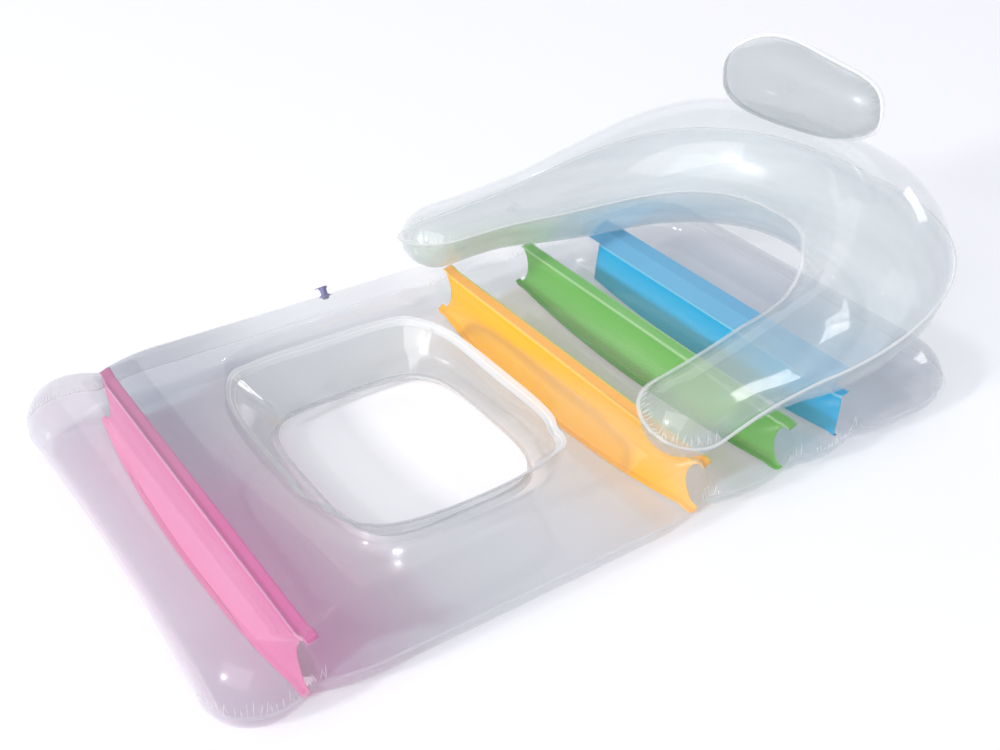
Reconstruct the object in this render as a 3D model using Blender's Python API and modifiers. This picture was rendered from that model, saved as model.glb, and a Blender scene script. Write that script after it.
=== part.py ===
"""Inflatable pool lounger: a webbed mattress with a seat window, a horseshoe backrest and a pillow.

Clear film is welded into three air chambers. The mattress keeps its thickness by four coloured
webs inside it, the backrest is a horseshoe tube tied to the blue web's weld line, and the pillow
sits on the crest of the backrest. Every chamber has its own push-in valve.
X runs from foot to head, Y across, Z up, and the ground is at Z = 0. Lengths are in metres.
"""

from math import cos, pi, radians, sin, sqrt

import bmesh
import bpy
import numpy as np
from mathutils import Euler, Matrix, Vector
from mathutils.bvhtree import BVHTree

# Film and its welds
FILM = 0.0004
GAP = 0.0003
WELD_BAND = 0.006

# Lengths of the mattress cells, from the foot seam to the head seam
FOOT_CELL = 0.137
SEAT_CELL = 0.661
THIGH_CELL = 0.182
TIE_CELL = 0.135
HEAD_CELL = 0.272

# Mattress section
HALF_WIDTH = 0.386
SIDE_SWELL = 0.016
FOOT_CORNER_RADIUS = 0.082
HEAD_CORNER_RADIUS = 0.105
FOOT_BOW = 0.015
EDGE_RADIUS = 0.058
WEB_LIFT = 0.014
WEB_HEIGHT = 0.073
SEAM_RISE = 0.033
BULGE_REACH = 0.060
SEAT_BULGE_REACH = 0.095
TOP_BULGE_FOOT = 0.027
TOP_BULGE_SEAT = 0.030
TOP_BULGE_THIGH = 0.020
TOP_BULGE_TIE = 0.014
TOP_BULGE_HEAD = 0.016
LOW_BULGE_SHARE = 0.85
LOW_BULGE_LEAST = 0.0165
END_FILL = 0.80

# Seat window: the upper weld is wider than the lower one, so its wall leans in
WINDOW_FROM_PINK = 0.335
WINDOW_TOP_LENGTH = 0.395
WINDOW_TOP_WIDTH = 0.462
WINDOW_TOP_RISE = 0.010
WINDOW_SAG = 0.006
WINDOW_LOW_LENGTH = 0.322
WINDOW_LOW_WIDTH = 0.362
WINDOW_LOW_SHIFT = 0.017
WINDOW_LOW_RISE = 0.011
WINDOW_SWELL = 0.045
WINDOW_CORNER_POWER = 4.2
WINDOW_WALL_BOW = 0.006
WALL_ROW_SHARES = (0.33, 0.67)

# Webs
WEB_HALF_LENGTH = 0.360
WEB_NOTCH = 0.030
WEB_FLANGE = 0.017
WEB_END_CLEARANCE = 0.0055
BLUE_HALF_LENGTH = 0.345
TIE_HALF_LENGTH = 0.318
TIE_REACH = 0.045

# Backrest: centre line of the horseshoe, in plan, measured from the blue web
BACK_APEX = 0.258
BACK_CURVE = 0.384
BACK_HALF_SPAN = 0.314
BACK_POWER = 2.5
ARM_LENGTH = 0.284
ARM_SPLAY = 0.026
ARM_TIP_RADIUS = 0.072
# Height of the horseshoe's seam over the pink web's foot, and the tube's section
ARM_SEAM_RISE = 0.168
SHOULDER_SEAM_RISE = 0.196
CORNER_SEAM_RISE = 0.232
APEX_SEAM_RISE = 0.243
ARM_HALF_WIDTH = 0.070
SHOULDER_HALF_WIDTH = 0.092
CORNER_HALF_WIDTH = 0.120
APEX_HALF_WIDTH = 0.096
ARM_CROWN = 0.052
SHOULDER_CROWN = 0.076
CORNER_CROWN = 0.112
APEX_CROWN = 0.116
ARM_BELLY = 0.064
SHOULDER_BELLY = 0.098
CORNER_BELLY = 0.122
APEX_BELLY = 0.116
ARM_TILT = radians(-14)
APEX_TILT = radians(14)

# Pillow
PILLOW_HALF_WIDTH = 0.168
PILLOW_HALF_HEIGHT = 0.072
PILLOW_THICKNESS = 0.100
PILLOW_POWER = 2.7
PILLOW_LEAN = radians(-2)
PILLOW_ROLL = radians(-4)
PILLOW_YAW = radians(4)
PILLOW_BEND = 0.020
PILLOW_FORWARD = 0.008
PILLOW_ASIDE = 0.013
PILLOW_TIE_HALF_LENGTH = 0.085
PILLOW_TIE_WIDTH = 0.024
PILLOW_TIE_CLEARANCE = 0.0012

# Valves
VALVE_BASE_RADIUS = 0.0120
VALVE_BASE_THICKNESS = 0.0010
VALVE_COLLAR_RADIUS = 0.0088
VALVE_COLLAR_HEIGHT = 0.0030
VALVE_STEM_RADIUS = 0.0060
VALVE_STEM_HEIGHT = 0.0165
VALVE_STEM_BELOW = 0.0040
VALVE_LIP_RADIUS = 0.0080
VALVE_LIP_HEIGHT = 0.0025
VALVE_BEAD_RADIUS = 0.0069
VALVE_BEAD_HEIGHT = 0.0012
VALVE_BORE_RADIUS = 0.0032
VALVE_CLEARANCE = 0.0004
VALVE_FILM_HOLE_RADIUS = 0.0076
PLUG_HEAD_RADIUS = 0.0072
PLUG_HEAD_HEIGHT = 0.0022
PLUG_PIN_RADIUS = 0.0027
PLUG_PIN_TIP_RADIUS = 0.0018
PLUG_PIN_LENGTH = 0.0050
PLUG_TAB_LENGTH = 0.0070
PLUG_TAB_WIDTH = 0.0060
PLUG_STRAP_WIDTH = 0.0040
PLUG_STRAP_THICKNESS = 0.0010
FLAP_RADIUS = 0.0042
FLAP_THICKNESS = 0.0005

# Where the valves sit on their chambers
MATTRESS_VALVE_FROM_FOOT = 0.560
MATTRESS_VALVE_INSET = 0.018
BACKREST_VALVE_FROM_BLUE = -0.135
PILLOW_VALVE_SIDE = 0.070

# Mesh steps
ROWS = 12
SEAT_COLUMNS = 12
SEAT_RINGS = 5
HORSESHOE_STEPS = 22
TUBE_STEPS = 8
PILLOW_SECTORS = 28
PILLOW_RINGS = 5
WEB_STEPS = 14
NOTCH_STEPS = 6
TURNED_STEPS = 18
CURVE_SAMPLES = 240

# Places that follow from the sizes above
PINK_X = FOOT_CELL
YELLOW_X = PINK_X + SEAT_CELL
GREEN_X = YELLOW_X + THIGH_CELL
BLUE_X = GREEN_X + TIE_CELL
HEAD_X = BLUE_X + HEAD_CELL
SEAM_Z = WEB_LIFT + SEAM_RISE
WEB_TOP_Z = WEB_LIFT + WEB_HEIGHT
WINDOW_X = PINK_X + WINDOW_FROM_PINK
CELLS = (
    (0.0, PINK_X, TOP_BULGE_FOOT),
    (PINK_X, YELLOW_X, TOP_BULGE_SEAT),
    (YELLOW_X, GREEN_X, TOP_BULGE_THIGH),
    (GREEN_X, BLUE_X, TOP_BULGE_TIE),
    (BLUE_X, HEAD_X, TOP_BULGE_HEAD),
)


def clear_scene():
    for obj in list(bpy.data.objects):
        bpy.data.objects.remove(obj, do_unlink=True)


def new_collection(name):
    made = bpy.data.collections.new(name)
    bpy.context.scene.collection.children.link(made)
    return made


def film_material(name, colour, roughness, alpha):
    material = bpy.data.materials.new(name)
    material.use_nodes = True
    shader = material.node_tree.nodes["Principled BSDF"]
    shader.inputs["Base Color"].default_value = (*colour, 1.0)
    shader.inputs["Roughness"].default_value = roughness
    shader.inputs["Metallic"].default_value = 0.0
    shader.inputs["Alpha"].default_value = alpha
    material.diffuse_color = (*colour, 1.0)
    return material


def rounded(share):
    """Height share of a round edge: 0 on the seam, 1 where the round ends."""
    share = np.clip(share, 0.0, 1.0)
    return np.sqrt(share * (2.0 - share))


def through(position, shares, values):
    """A smooth curve through hand-chosen shares of a length, level at both ends."""
    shares, values = np.asarray(shares, float), np.asarray(values, float)
    slopes = np.gradient(values, shares)
    slopes[0] = slopes[-1] = 0.0
    i = int(np.clip(np.searchsorted(shares, position) - 1, 0, len(shares) - 2))
    width = shares[i + 1] - shares[i]
    t = (position - shares[i]) / width
    return (
        (2 * t**3 - 3 * t**2 + 1) * values[i]
        + (t**3 - 2 * t**2 + t) * width * slopes[i]
        + (3 * t**2 - 2 * t**3) * values[i + 1]
        + (t**3 - t**2) * width * slopes[i + 1]
    )


def cell_at(x):
    for start, end, bulge in CELLS:
        if x <= end:
            return start, end, bulge
    return CELLS[-1]


def swell(x):
    """How far the film between two webs stands out, as a share: 0 on a web."""
    start, end, _ = cell_at(x)
    if start == 0.0:
        return 1.0 - max(0.0, 1.0 - (end - x) / min(BULGE_REACH, end)) ** 2
    if end == HEAD_X:
        return 1.0 - max(0.0, 1.0 - (x - start) / min(SEAT_BULGE_REACH, end - start)) ** 2
    reach = min(SEAT_BULGE_REACH, (end - start) / 2)
    near = min(x - start, end - x) / reach
    return 1.0 - max(0.0, 1.0 - near) ** 2


def half_width(x):
    """Half width of the perimeter seam, drawn in at the webs and rounded at the corners."""
    side = HALF_WIDTH + SIDE_SWELL * (swell(x) - 0.5)
    from_end, radius = nearest_end(x)
    if from_end >= radius:
        return side
    share = 1.0 - max(from_end, 0.0) / radius
    return side - radius + radius * sqrt(max(0.0, 1.0 - share**2))


def nearest_end(x):
    """Distance from the nearest end seam, and the radius of the corners there."""
    if x < HEAD_X - x:
        return x, FOOT_CORNER_RADIUS
    return HEAD_X - x, HEAD_CORNER_RADIUS


def edge_share(x, y):
    """0 on the perimeter seam, 1 where the round edge has reached full height."""
    side = HALF_WIDTH + SIDE_SWELL * (swell(x) - 0.5)
    from_end, radius = nearest_end(x)
    from_side = side - abs(y)
    distance = min(from_end, from_side)
    if max(from_end, from_side) < radius:
        distance = radius - sqrt((radius - from_end) ** 2 + (radius - from_side) ** 2)
    return float(rounded(distance / EDGE_RADIUS))


def bulge_share(x, y):
    """Share of its cell's bulge that the film reaches; it fills up past the webs' ends."""
    past = np.clip((abs(y) - WEB_HALF_LENGTH + WEB_NOTCH) / WEB_NOTCH, 0.0, 1.0)
    free = float(past * past * (3.0 - 2.0 * past)) * END_FILL
    share = swell(x)
    return share + (1.0 - share) * free


def window_share(x, y, centre, length, width):
    """0 on the window's weld, 1 where the film has swollen to its full height."""
    across, along = abs(y) / (width / 2), abs(x - centre) / (length / 2)
    reach = (across**WINDOW_CORNER_POWER + along**WINDOW_CORNER_POWER) ** (1 / WINDOW_CORNER_POWER)
    distance = sqrt((x - centre) ** 2 + y**2) * (1.0 - 1.0 / max(reach, 1.0))
    return float(rounded((distance - WELD_BAND) / WINDOW_SWELL))


def window_top_z(x, y):
    """The upper weld sags between its corners."""
    turn = np.arctan2(y / WINDOW_TOP_WIDTH, (x - WINDOW_X) / WINDOW_TOP_LENGTH)
    return WEB_TOP_Z + WINDOW_TOP_RISE - WINDOW_SAG * cos(2 * turn) ** 2


def in_seat(x):
    return PINK_X < x < YELLOW_X


def top_height(x, y):
    bulge = cell_at(x)[2] * bulge_share(x, y)
    height = SEAM_Z + (WEB_TOP_Z + bulge - SEAM_Z) * edge_share(x, y)
    if in_seat(x):
        share = window_share(x, y, WINDOW_X, WINDOW_TOP_LENGTH, WINDOW_TOP_WIDTH)
        ring = window_top_z(x, y)
        height = ring + (height - ring) * share
    return height


def low_height(x, y):
    bulge = max(LOW_BULGE_SHARE * cell_at(x)[2], LOW_BULGE_LEAST) * bulge_share(x, y)
    height = SEAM_Z - (SEAM_Z - WEB_LIFT + bulge) * edge_share(x, y)
    if in_seat(x):
        centre = WINDOW_X + WINDOW_LOW_SHIFT
        share = window_share(x, y, centre, WINDOW_LOW_LENGTH, WINDOW_LOW_WIDTH)
        ring = WEB_LIFT + WINDOW_LOW_RISE
        height = ring + (height - ring) * share
    return max(height, 0.0)


def row_share(row):
    """Rows crowd towards the seams, where the film turns."""
    return sin(pi / 2 * (2 * row / ROWS - 1))


def window_outline(square_x, square_y, centre, length, width, grow=0.0):
    power = WINDOW_CORNER_POWER
    reach = (abs(square_x) ** power + abs(square_y) ** power) ** (-1 / power)
    return (
        centre + square_x * reach * (length / 2 + grow),
        square_y * reach * (width / 2 + grow),
    )


def square_walk():
    """Points round the edge of the unit square, at the rows and columns of the seat cell."""
    columns = [2 * i / SEAT_COLUMNS - 1 for i in range(SEAT_COLUMNS)]
    rows = [row_share(i) for i in range(ROWS)]
    walk = [(x, -1.0) for x in columns]
    walk += [(1.0, y) for y in rows]
    walk += [(-x, 1.0) for x in columns]
    walk += [(-1.0, -y) for y in rows]
    return walk


def seat_point(square, share, window):
    """A point of the seat cell, from the window's weld (share 0) to the webs' margins (share 1)."""
    inner = window_outline(*square, *window)
    x = PINK_X + WEB_FLANGE + (square[0] + 1) / 2 * (SEAT_CELL - 2 * WEB_FLANGE)
    outer = (x, square[1] * half_width(x))
    return (
        inner[0] + (outer[0] - inner[0]) * share,
        inner[1] + (outer[1] - inner[1]) * share,
    )


def mattress_plan(window):
    """Faces of one mattress sheet in plan, each a ring of (x, y) points."""
    faces = []
    walk = square_walk()
    turns = [pi * (2 * i + 1) / (2 * SEAT_RINGS + 1) for i in range(SEAT_RINGS)]
    shares = [0.0] + [(1 - cos(turn)) / 2 for turn in turns] + [1.0]
    for a, b in zip(walk, walk[1:] + walk[:1]):
        for low, high in zip(shares, shares[1:]):
            faces.append(
                [
                    seat_point(a, low, window),
                    seat_point(a, high, window),
                    seat_point(b, high, window),
                    seat_point(b, low, window),
                ]
            )
    for stations in plain_stations():
        for x0, x1 in zip(stations, stations[1:]):
            for row in range(ROWS):
                faces.append(
                    [
                        (x0, row_share(row) * half_width(x0)),
                        (x1, row_share(row) * half_width(x1)),
                        (x1, row_share(row + 1) * half_width(x1)),
                        (x0, row_share(row + 1) * half_width(x0)),
                    ]
                )
    return faces


def plain_stations():
    """Stations along the cells outside the windowed one; a web's margins end on one."""
    foot = [EDGE_RADIUS * (1 - cos(pi / 2 * i / 3)) for i in range(3)]
    foot += [EDGE_RADIUS, PINK_X - 2 * WEB_FLANGE, PINK_X - WEB_FLANGE, PINK_X, PINK_X + WEB_FLANGE]
    thigh = [YELLOW_X - WEB_FLANGE, YELLOW_X, YELLOW_X + WEB_FLANGE, (YELLOW_X + GREEN_X) / 2]
    thigh += [GREEN_X - WEB_FLANGE, GREEN_X]
    tie = [GREEN_X, GREEN_X + WEB_FLANGE, (GREEN_X + BLUE_X) / 2, BLUE_X - WEB_FLANGE, BLUE_X]
    head_mid = HEAD_X - HEAD_CORNER_RADIUS
    head = [BLUE_X, BLUE_X + WEB_FLANGE, BLUE_X + BULGE_REACH, head_mid, HEAD_X - EDGE_RADIUS]
    head += [HEAD_X - EDGE_RADIUS * (1 - cos(pi / 2 * i / 3)) for i in (2, 1, 0)]
    return foot, thigh, tie, head


def mesh_from_faces(name, faces):
    """Welds loose faces, given as lists of points, into one mesh."""
    bm = bmesh.new()
    for face in faces:
        corners = []
        for point in face:
            if not corners or (Vector(point) - corners[-1].co).length > GAP / 10:
                corners.append(bm.verts.new(point))
        if (corners[0].co - corners[-1].co).length < GAP / 10:
            bm.verts.remove(corners.pop())
        if len(corners) > 2:
            bm.faces.new(corners)
    bmesh.ops.remove_doubles(bm, verts=bm.verts, dist=GAP / 10)
    bmesh.ops.recalc_face_normals(bm, faces=bm.faces)
    mesh = bpy.data.meshes.new(name)
    bm.to_mesh(mesh)
    bm.free()
    return mesh


def face_along(mesh, up):
    """Turns the sheet over if its faces look away from up on the whole."""
    total = sum((face.normal * face.area for face in mesh.polygons), Vector())
    if total.dot(up) < 0:
        mesh.flip_normals()


def add_weld_band(mesh, up, at_seam):
    """Grows the flat welded margin outwards from the open edges that lie on the seam."""
    face_along(mesh, up)
    bm = bmesh.new()
    bm.from_mesh(mesh)
    edges = [e for e in bm.edges if e.is_boundary and all(at_seam(v.co) for v in e.verts)]
    outward = {}
    for edge in edges:
        loop = edge.link_loops[0]
        side = (loop.link_loop_next.vert.co - loop.vert.co).cross(up)
        for vert in edge.verts:
            key = vert.co.to_tuple(6)
            outward[key] = outward.get(key, Vector()) + side
    grown = bmesh.ops.extrude_edge_only(bm, edges=edges)["geom"]
    for vert in [item for item in grown if isinstance(item, bmesh.types.BMVert)]:
        vert.co += outward[vert.co.to_tuple(6)].normalized() * WELD_BAND
    bmesh.ops.recalc_face_normals(bm, faces=bm.faces)
    bm.to_mesh(mesh)
    bm.free()
    face_along(mesh, up)


def place(mesh, material, pivot, collection):
    """An object whose mesh was made in the lounger's frame, with its origin on its pivot."""
    mesh.transform(world_of(pivot).inverted())
    obj = bpy.data.objects.new(mesh.name, mesh)
    obj.parent = pivot
    mesh.materials.append(material)
    collection.objects.link(obj)
    mesh.shade_smooth()
    mesh.set_sharp_from_angle(angle=radians(40))
    return obj


def thicken(obj, offset=1.0, thickness=FILM):
    solid = obj.modifiers.new("Film thickness", "SOLIDIFY")
    solid.thickness = thickness
    solid.offset = offset
    solid.use_even_offset = False
    return obj


def pivot_empty(name, location, rotation, parent, collection):
    empty = bpy.data.objects.new(name, None)
    empty.parent = parent
    empty.rotation_mode = "QUATERNION"
    matrix = world_of(parent).inverted() @ (Matrix.Translation(location) @ rotation.to_matrix().to_4x4())
    empty.location = matrix.to_translation()
    empty.rotation_quaternion = matrix.to_quaternion()
    empty.empty_display_size = BULGE_REACH
    collection.objects.link(empty)
    return empty


def world_of(obj):
    """An object's world matrix, worked out through its parents before any scene update."""
    if obj is None:
        return Matrix()
    local = Matrix.Translation(obj.location) @ obj.rotation_quaternion.to_matrix().to_4x4()
    return world_of(obj.parent) @ local


def foot_bow(x, y):
    """The foot seam is drawn in at its middle, as the corners fill up first."""
    near = max(0.0, 1.0 - x / PINK_X)
    return FOOT_BOW * near * near * (1.0 - (y / HALF_WIDTH) ** 2)


def mattress_sheet(name, window, height, side, material, pivot, collection):
    """One mattress sheet; side is 1 for the top and -1 for the bottom."""
    up = Vector((0, 0, side))
    seam_z = SEAM_Z + side * GAP / 2

    def point(x, y):
        z = height(x, y)
        return x + foot_bow(x, y), y, seam_z if abs(z - SEAM_Z) < GAP else z

    faces = [[point(x, y) for x, y in face] for face in mattress_plan(window)]
    mesh = mesh_from_faces(name, faces)
    add_weld_band(mesh, up, lambda co: abs(co.z - seam_z) < GAP / 10 and not in_window(co, window))
    return thicken(place(mesh, material, pivot, collection))


def in_window(co, window):
    centre, length, width = window
    return abs(co.x - centre) < length / 2 + WELD_BAND and abs(co.y) < width / 2 + WELD_BAND


def window_wall(material, pivot, collection):
    """The wall between the two window welds, with a margin welded under each sheet."""
    faces = []
    walk = square_walk()
    top = (WINDOW_X, WINDOW_TOP_LENGTH, WINDOW_TOP_WIDTH)
    low = (WINDOW_X + WINDOW_LOW_SHIFT, WINDOW_LOW_LENGTH, WINDOW_LOW_WIDTH)
    under = GAP + FILM / 2

    def profile(square):
        top_edge = window_outline(*square, *top)
        low_edge = window_outline(*square, *low)
        top_band = window_outline(*square, *top, grow=WELD_BAND)
        low_band = window_outline(*square, *low, grow=WELD_BAND)
        high_z = window_top_z(*top_edge) - under
        low_z = WEB_LIFT + WINDOW_LOW_RISE + under
        points = [(*top_band, window_top_z(*top_edge) - under), (*top_edge, high_z)]
        for share in WALL_ROW_SHARES:
            x = top_edge[0] + (low_edge[0] - top_edge[0]) * share
            y = top_edge[1] + (low_edge[1] - top_edge[1]) * share
            bow = WINDOW_WALL_BOW * sin(pi * share)
            away = Vector((x - WINDOW_X, y)).normalized()
            points.append((x - away.x * bow, y - away.y * bow, high_z + (low_z - high_z) * share))
        return points + [(*low_edge, low_z), (*low_band, low_z)]

    for a, b in zip(walk, walk[1:] + walk[:1]):
        left, right = profile(a), profile(b)
        for i in range(len(left) - 1):
            faces.append([left[i], left[i + 1], right[i + 1], right[i]])
    mesh = mesh_from_faces("window_wall", faces)
    return thicken(place(mesh, material, pivot, collection), offset=0.0)


def sheet_row(height, x, y):
    """Height of a sheet's facets over one of its stations, between its rows."""
    rows = [row_share(i) * half_width(x) for i in range(ROWS + 1)]
    return float(np.interp(y, rows, [height(x, row) for row in rows]))


def web(name, x, half_length, notch, material, pivot, collection):
    """A web: a wall with margins welded to both sheets, the upper one turned to the head."""
    under = GAP + FILM / 2

    def margin(offset, height, sign):
        """A welded margin's edge; its ends stand off the sheet's twisted corner facets."""

        def level(y):
            clear = WEB_END_CLEARANCE if abs(y) >= half_length and offset else 0.0
            return sheet_row(height, x + offset, y) + sign * (under + clear)

        return x + offset, half_length, level

    rows = [margin(-WEB_FLANGE, low_height, 1), margin(0.0, low_height, 1)]
    for i in range(1, NOTCH_STEPS):
        share = i / NOTCH_STEPS
        cut = notch * sqrt(1 - (2 * share - 1) ** 2)

        def wall(y, share=share):
            low = sheet_row(low_height, x, y) + under
            return low + (sheet_row(top_height, x, y) - under - low) * share

        rows.append([x, half_length - cut, wall])
    rows += [margin(0.0, top_height, -1), margin(WEB_FLANGE, top_height, -1)]
    grid = []
    for station, reach, height in rows:
        line = []
        for row in range(ROWS + 1):
            y = float(np.clip(row_share(row) * half_width(station), -reach, reach))
            line.append((station, y, height(y)))
        grid.append(line)
    mesh = mesh_from_faces(name, grid_faces(grid))
    return thicken(place(mesh, material, pivot, collection), offset=0.0)


def grid_faces(grid):
    return [
        [grid[i][j], grid[i][j + 1], grid[i + 1][j + 1], grid[i + 1][j]]
        for i in range(len(grid) - 1)
        for j in range(len(grid[0]) - 1)
    ]


def centre_line():
    """Centre line of half the horseshoe in plan, from the apex to the arm's tip, as shares."""
    curve_x = BLUE_X + BACK_APEX - BACK_CURVE
    points = []
    for i in range(CURVE_SAMPLES + 1):
        turn = pi / 2 * i / CURVE_SAMPLES
        points.append(
            (
                curve_x + BACK_CURVE * cos(turn) ** (2 / BACK_POWER),
                BACK_HALF_SPAN * sin(turn) ** (2 / BACK_POWER),
            )
        )
    tip_x = BLUE_X + BACK_APEX - BACK_CURVE - ARM_LENGTH
    for i in range(1, CURVE_SAMPLES + 1):
        share = i / CURVE_SAMPLES
        points.append((curve_x + (tip_x - curve_x) * share, BACK_HALF_SPAN + ARM_SPLAY * share))
    points = np.array(points)
    run = np.concatenate([[0.0], np.cumsum(np.hypot(*np.diff(points, axis=0).T))])
    return points, run


LINE, LINE_RUN = centre_line()

SHAPE_SHARES = (0.0, 0.30, 0.56, 0.80, 1.0)


def horseshoe_station(share):
    """Centre, outward chord direction and tangent of the tube at a share of the half horseshoe."""
    length = LINE_RUN[-1]
    run = share * length
    centre = [float(np.interp(run, LINE_RUN, LINE[:, i])) for i in (0, 1)]
    ahead = [float(np.interp(min(run + BULGE_REACH / 4, length), LINE_RUN, LINE[:, i])) for i in (0, 1)]
    behind = [float(np.interp(abs(run - BULGE_REACH / 4), LINE_RUN, LINE[:, i])) for i in (0, 1)]
    if run < BULGE_REACH / 4:
        behind[1] = -behind[1]
    tangent = Vector((ahead[0] - behind[0], ahead[1] - behind[1], 0)).normalized()
    outward = Vector((tangent.y, -tangent.x, 0))
    tip = float(rounded((length - run) / ARM_TIP_RADIUS))
    rise = through(share, SHAPE_SHARES, (
        APEX_SEAM_RISE, CORNER_SEAM_RISE, SHOULDER_SEAM_RISE, (SHOULDER_SEAM_RISE + ARM_SEAM_RISE) / 2,
        ARM_SEAM_RISE,
    ))
    width = through(share, SHAPE_SHARES, (
        APEX_HALF_WIDTH, CORNER_HALF_WIDTH, SHOULDER_HALF_WIDTH, ARM_HALF_WIDTH, ARM_HALF_WIDTH,
    ))
    crown = through(share, SHAPE_SHARES, (APEX_CROWN, CORNER_CROWN, SHOULDER_CROWN, ARM_CROWN, ARM_CROWN))
    belly = through(share, SHAPE_SHARES, (APEX_BELLY, CORNER_BELLY, SHOULDER_BELLY, ARM_BELLY, ARM_BELLY))
    tilt = APEX_TILT + (ARM_TILT - APEX_TILT) * share
    middle = Vector((centre[0], centre[1], WEB_LIFT + rise))
    chord = outward * cos(tilt) + Vector((0, 0, sin(tilt)))
    upward = -outward * sin(tilt) + Vector((0, 0, cos(tilt)))
    return middle, chord, upward, width * tip, crown * tip, belly * tip


def arc_point(across, half_chord, sagitta):
    """A point of a round arc over a chord: across runs from -1 to 1, (0, 0) is the chord's middle."""
    if sagitta < GAP:
        return across * half_chord, 0.0
    radius = (half_chord**2 + sagitta**2) / (2 * sagitta)
    half_turn = np.arctan2(half_chord, radius - sagitta)
    turn = across * half_turn
    return radius * sin(turn), sagitta - radius * (1 - cos(turn))


def backrest_sheet(name, side, material, pivot, collection):
    """One of the two horseshoe sheets: side is 1 for the crown and -1 for the belly."""
    shares = [sin(pi / 2 * i / HORSESHOE_STEPS) for i in range(HORSESHOE_STEPS + 1)]
    half = []
    for share in shares:
        middle, chord, upward, width, crown, belly = horseshoe_station(share)
        line = []
        for i in range(TUBE_STEPS + 1):
            across, high = arc_point(2 * i / TUBE_STEPS - 1, width, crown if side > 0 else belly)
            line.append(middle + chord * across + upward * side * (high + GAP / 2))
        half.append(line)
    mirrored = [[Vector((p.x, -p.y, p.z)) for p in line] for line in reversed(half[1:])]
    faces = grid_faces(mirrored + half)
    mesh = mesh_from_faces(name, faces)
    up = Vector((0, 0, side))
    add_weld_band(mesh, up, lambda co: True)
    return thicken(place(mesh, material, pivot, collection))


def pillow_frame():
    """Matrix from the pillow's own frame (Y across, Z along its height) to the lounger's."""
    crest = backrest_crest()
    lean = Euler((PILLOW_ROLL, PILLOW_LEAN, PILLOW_YAW)).to_matrix().to_4x4()
    lift = Vector((0, 0, PILLOW_HALF_HEIGHT + WELD_BAND))
    return Matrix.Translation(crest + Vector((-PILLOW_FORWARD, PILLOW_ASIDE, 0))) @ lean @ Matrix.Translation(lift)


def backrest_crest():
    """The outer side of the backrest over the middle of its apex."""
    middle, _, upward, _, crown, _ = horseshoe_station(0.0)
    return middle + upward * (crown + GAP / 2 + FILM)


def pillow_point(turn, share, side):
    """A point of a pillow sheet: share is 0 at its middle and 1 on the seam."""
    y = np.sign(cos(turn)) * abs(cos(turn)) ** (2 / PILLOW_POWER) * PILLOW_HALF_WIDTH * share
    z = np.sign(sin(turn)) * abs(sin(turn)) ** (2 / PILLOW_POWER) * PILLOW_HALF_HEIGHT * share
    bend = -PILLOW_BEND * (y / PILLOW_HALF_WIDTH) ** 2
    puff = PILLOW_THICKNESS / 2 * float(rounded(1.0 - share**2))
    return Vector((bend + side * (puff + GAP / 2), float(y), float(z)))


def pillow_sheet(name, side, material, pivot, collection):
    """A pillow sheet: side is -1 for the front, which faces the foot, and 1 for the back."""
    frame = pillow_frame()
    faces = []
    shares = [sin(pi / 2 * i / PILLOW_RINGS) for i in range(PILLOW_RINGS + 1)]
    for i in range(PILLOW_SECTORS):
        a, b = (2 * pi * k / PILLOW_SECTORS for k in (i, i + 1))
        for low, high in zip(shares, shares[1:]):
            faces.append(
                [
                    frame @ pillow_point(a, low, side),
                    frame @ pillow_point(a, high, side),
                    frame @ pillow_point(b, high, side),
                    frame @ pillow_point(b, low, side),
                ]
            )
    mesh = mesh_from_faces(name, faces)
    up = frame.to_3x3() @ Vector((side, 0, 0))
    add_weld_band(mesh, up, lambda co: True)
    return thicken(place(mesh, material, pivot, collection))


def pillow_tie(material, pivot, collection):
    """The strip welded to the backrest's crest that the pillow's lower seam is fixed to."""
    rows = []
    for along in (-1, 0, 1):
        line = []
        for i in range(WEB_STEPS + 1):
            y = PILLOW_TIE_HALF_LENGTH * (2 * i / WEB_STEPS - 1)
            line.append((along, y))
        rows.append(line)
    crest = backrest_crest()
    tree = sheet_tree("backrest_top_sheet")
    grid = []
    for line in rows:
        points = []
        for along, y in line:
            start = Vector((crest.x + along * PILLOW_TIE_WIDTH / 2, y, crest.z + APEX_CROWN))
            hit = tree.ray_cast(start, Vector((0, 0, -1)))[0]
            points.append(hit + Vector((0, 0, PILLOW_TIE_CLEARANCE + FILM / 2)))
        grid.append(points)
    mesh = mesh_from_faces("pillow_tie_strip", grid_faces(grid))
    return thicken(place(mesh, material, pivot, collection), offset=0.0)


def finished_faces(name):
    """Points and faces of a finished piece, thickness included, in the lounger's frame."""
    bpy.context.view_layer.update()
    obj = bpy.data.objects[name]
    evaluated = obj.evaluated_get(bpy.context.evaluated_depsgraph_get())
    mesh = evaluated.to_mesh()
    points = [world_of(obj.parent) @ vertex.co for vertex in mesh.vertices]
    faces = [tuple(face.vertices) for face in mesh.polygons]
    evaluated.to_mesh_clear()
    return points, faces


def sheet_tree(name):
    return BVHTree.FromPolygons(*finished_faces(name))


def set_down(pivot, upper, lower, clearance):
    """Moves a pivot up or down until its pieces stand just clear of the ones below them."""
    upper_points = [point for name in upper for point in finished_faces(name)[0]]
    lower_points = [point for name in lower for point in finished_faces(name)[0]]
    high = max(point.z for point in upper_points) + BULGE_REACH
    low = min(point.z for point in lower_points) - BULGE_REACH
    depth = -BULGE_REACH
    for tree in map(sheet_tree, lower):
        for point in upper_points:
            hit = tree.ray_cast(Vector((point.x, point.y, high)), Vector((0, 0, -1)))[0]
            if hit:
                depth = max(depth, hit.z - point.z)
    for tree in map(sheet_tree, upper):
        for point in lower_points:
            hit = tree.ray_cast(Vector((point.x, point.y, low)), Vector((0, 0, 1)))[0]
            if hit:
                depth = max(depth, point.z - hit.z)
    pivot.location.z += depth + clearance


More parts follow.
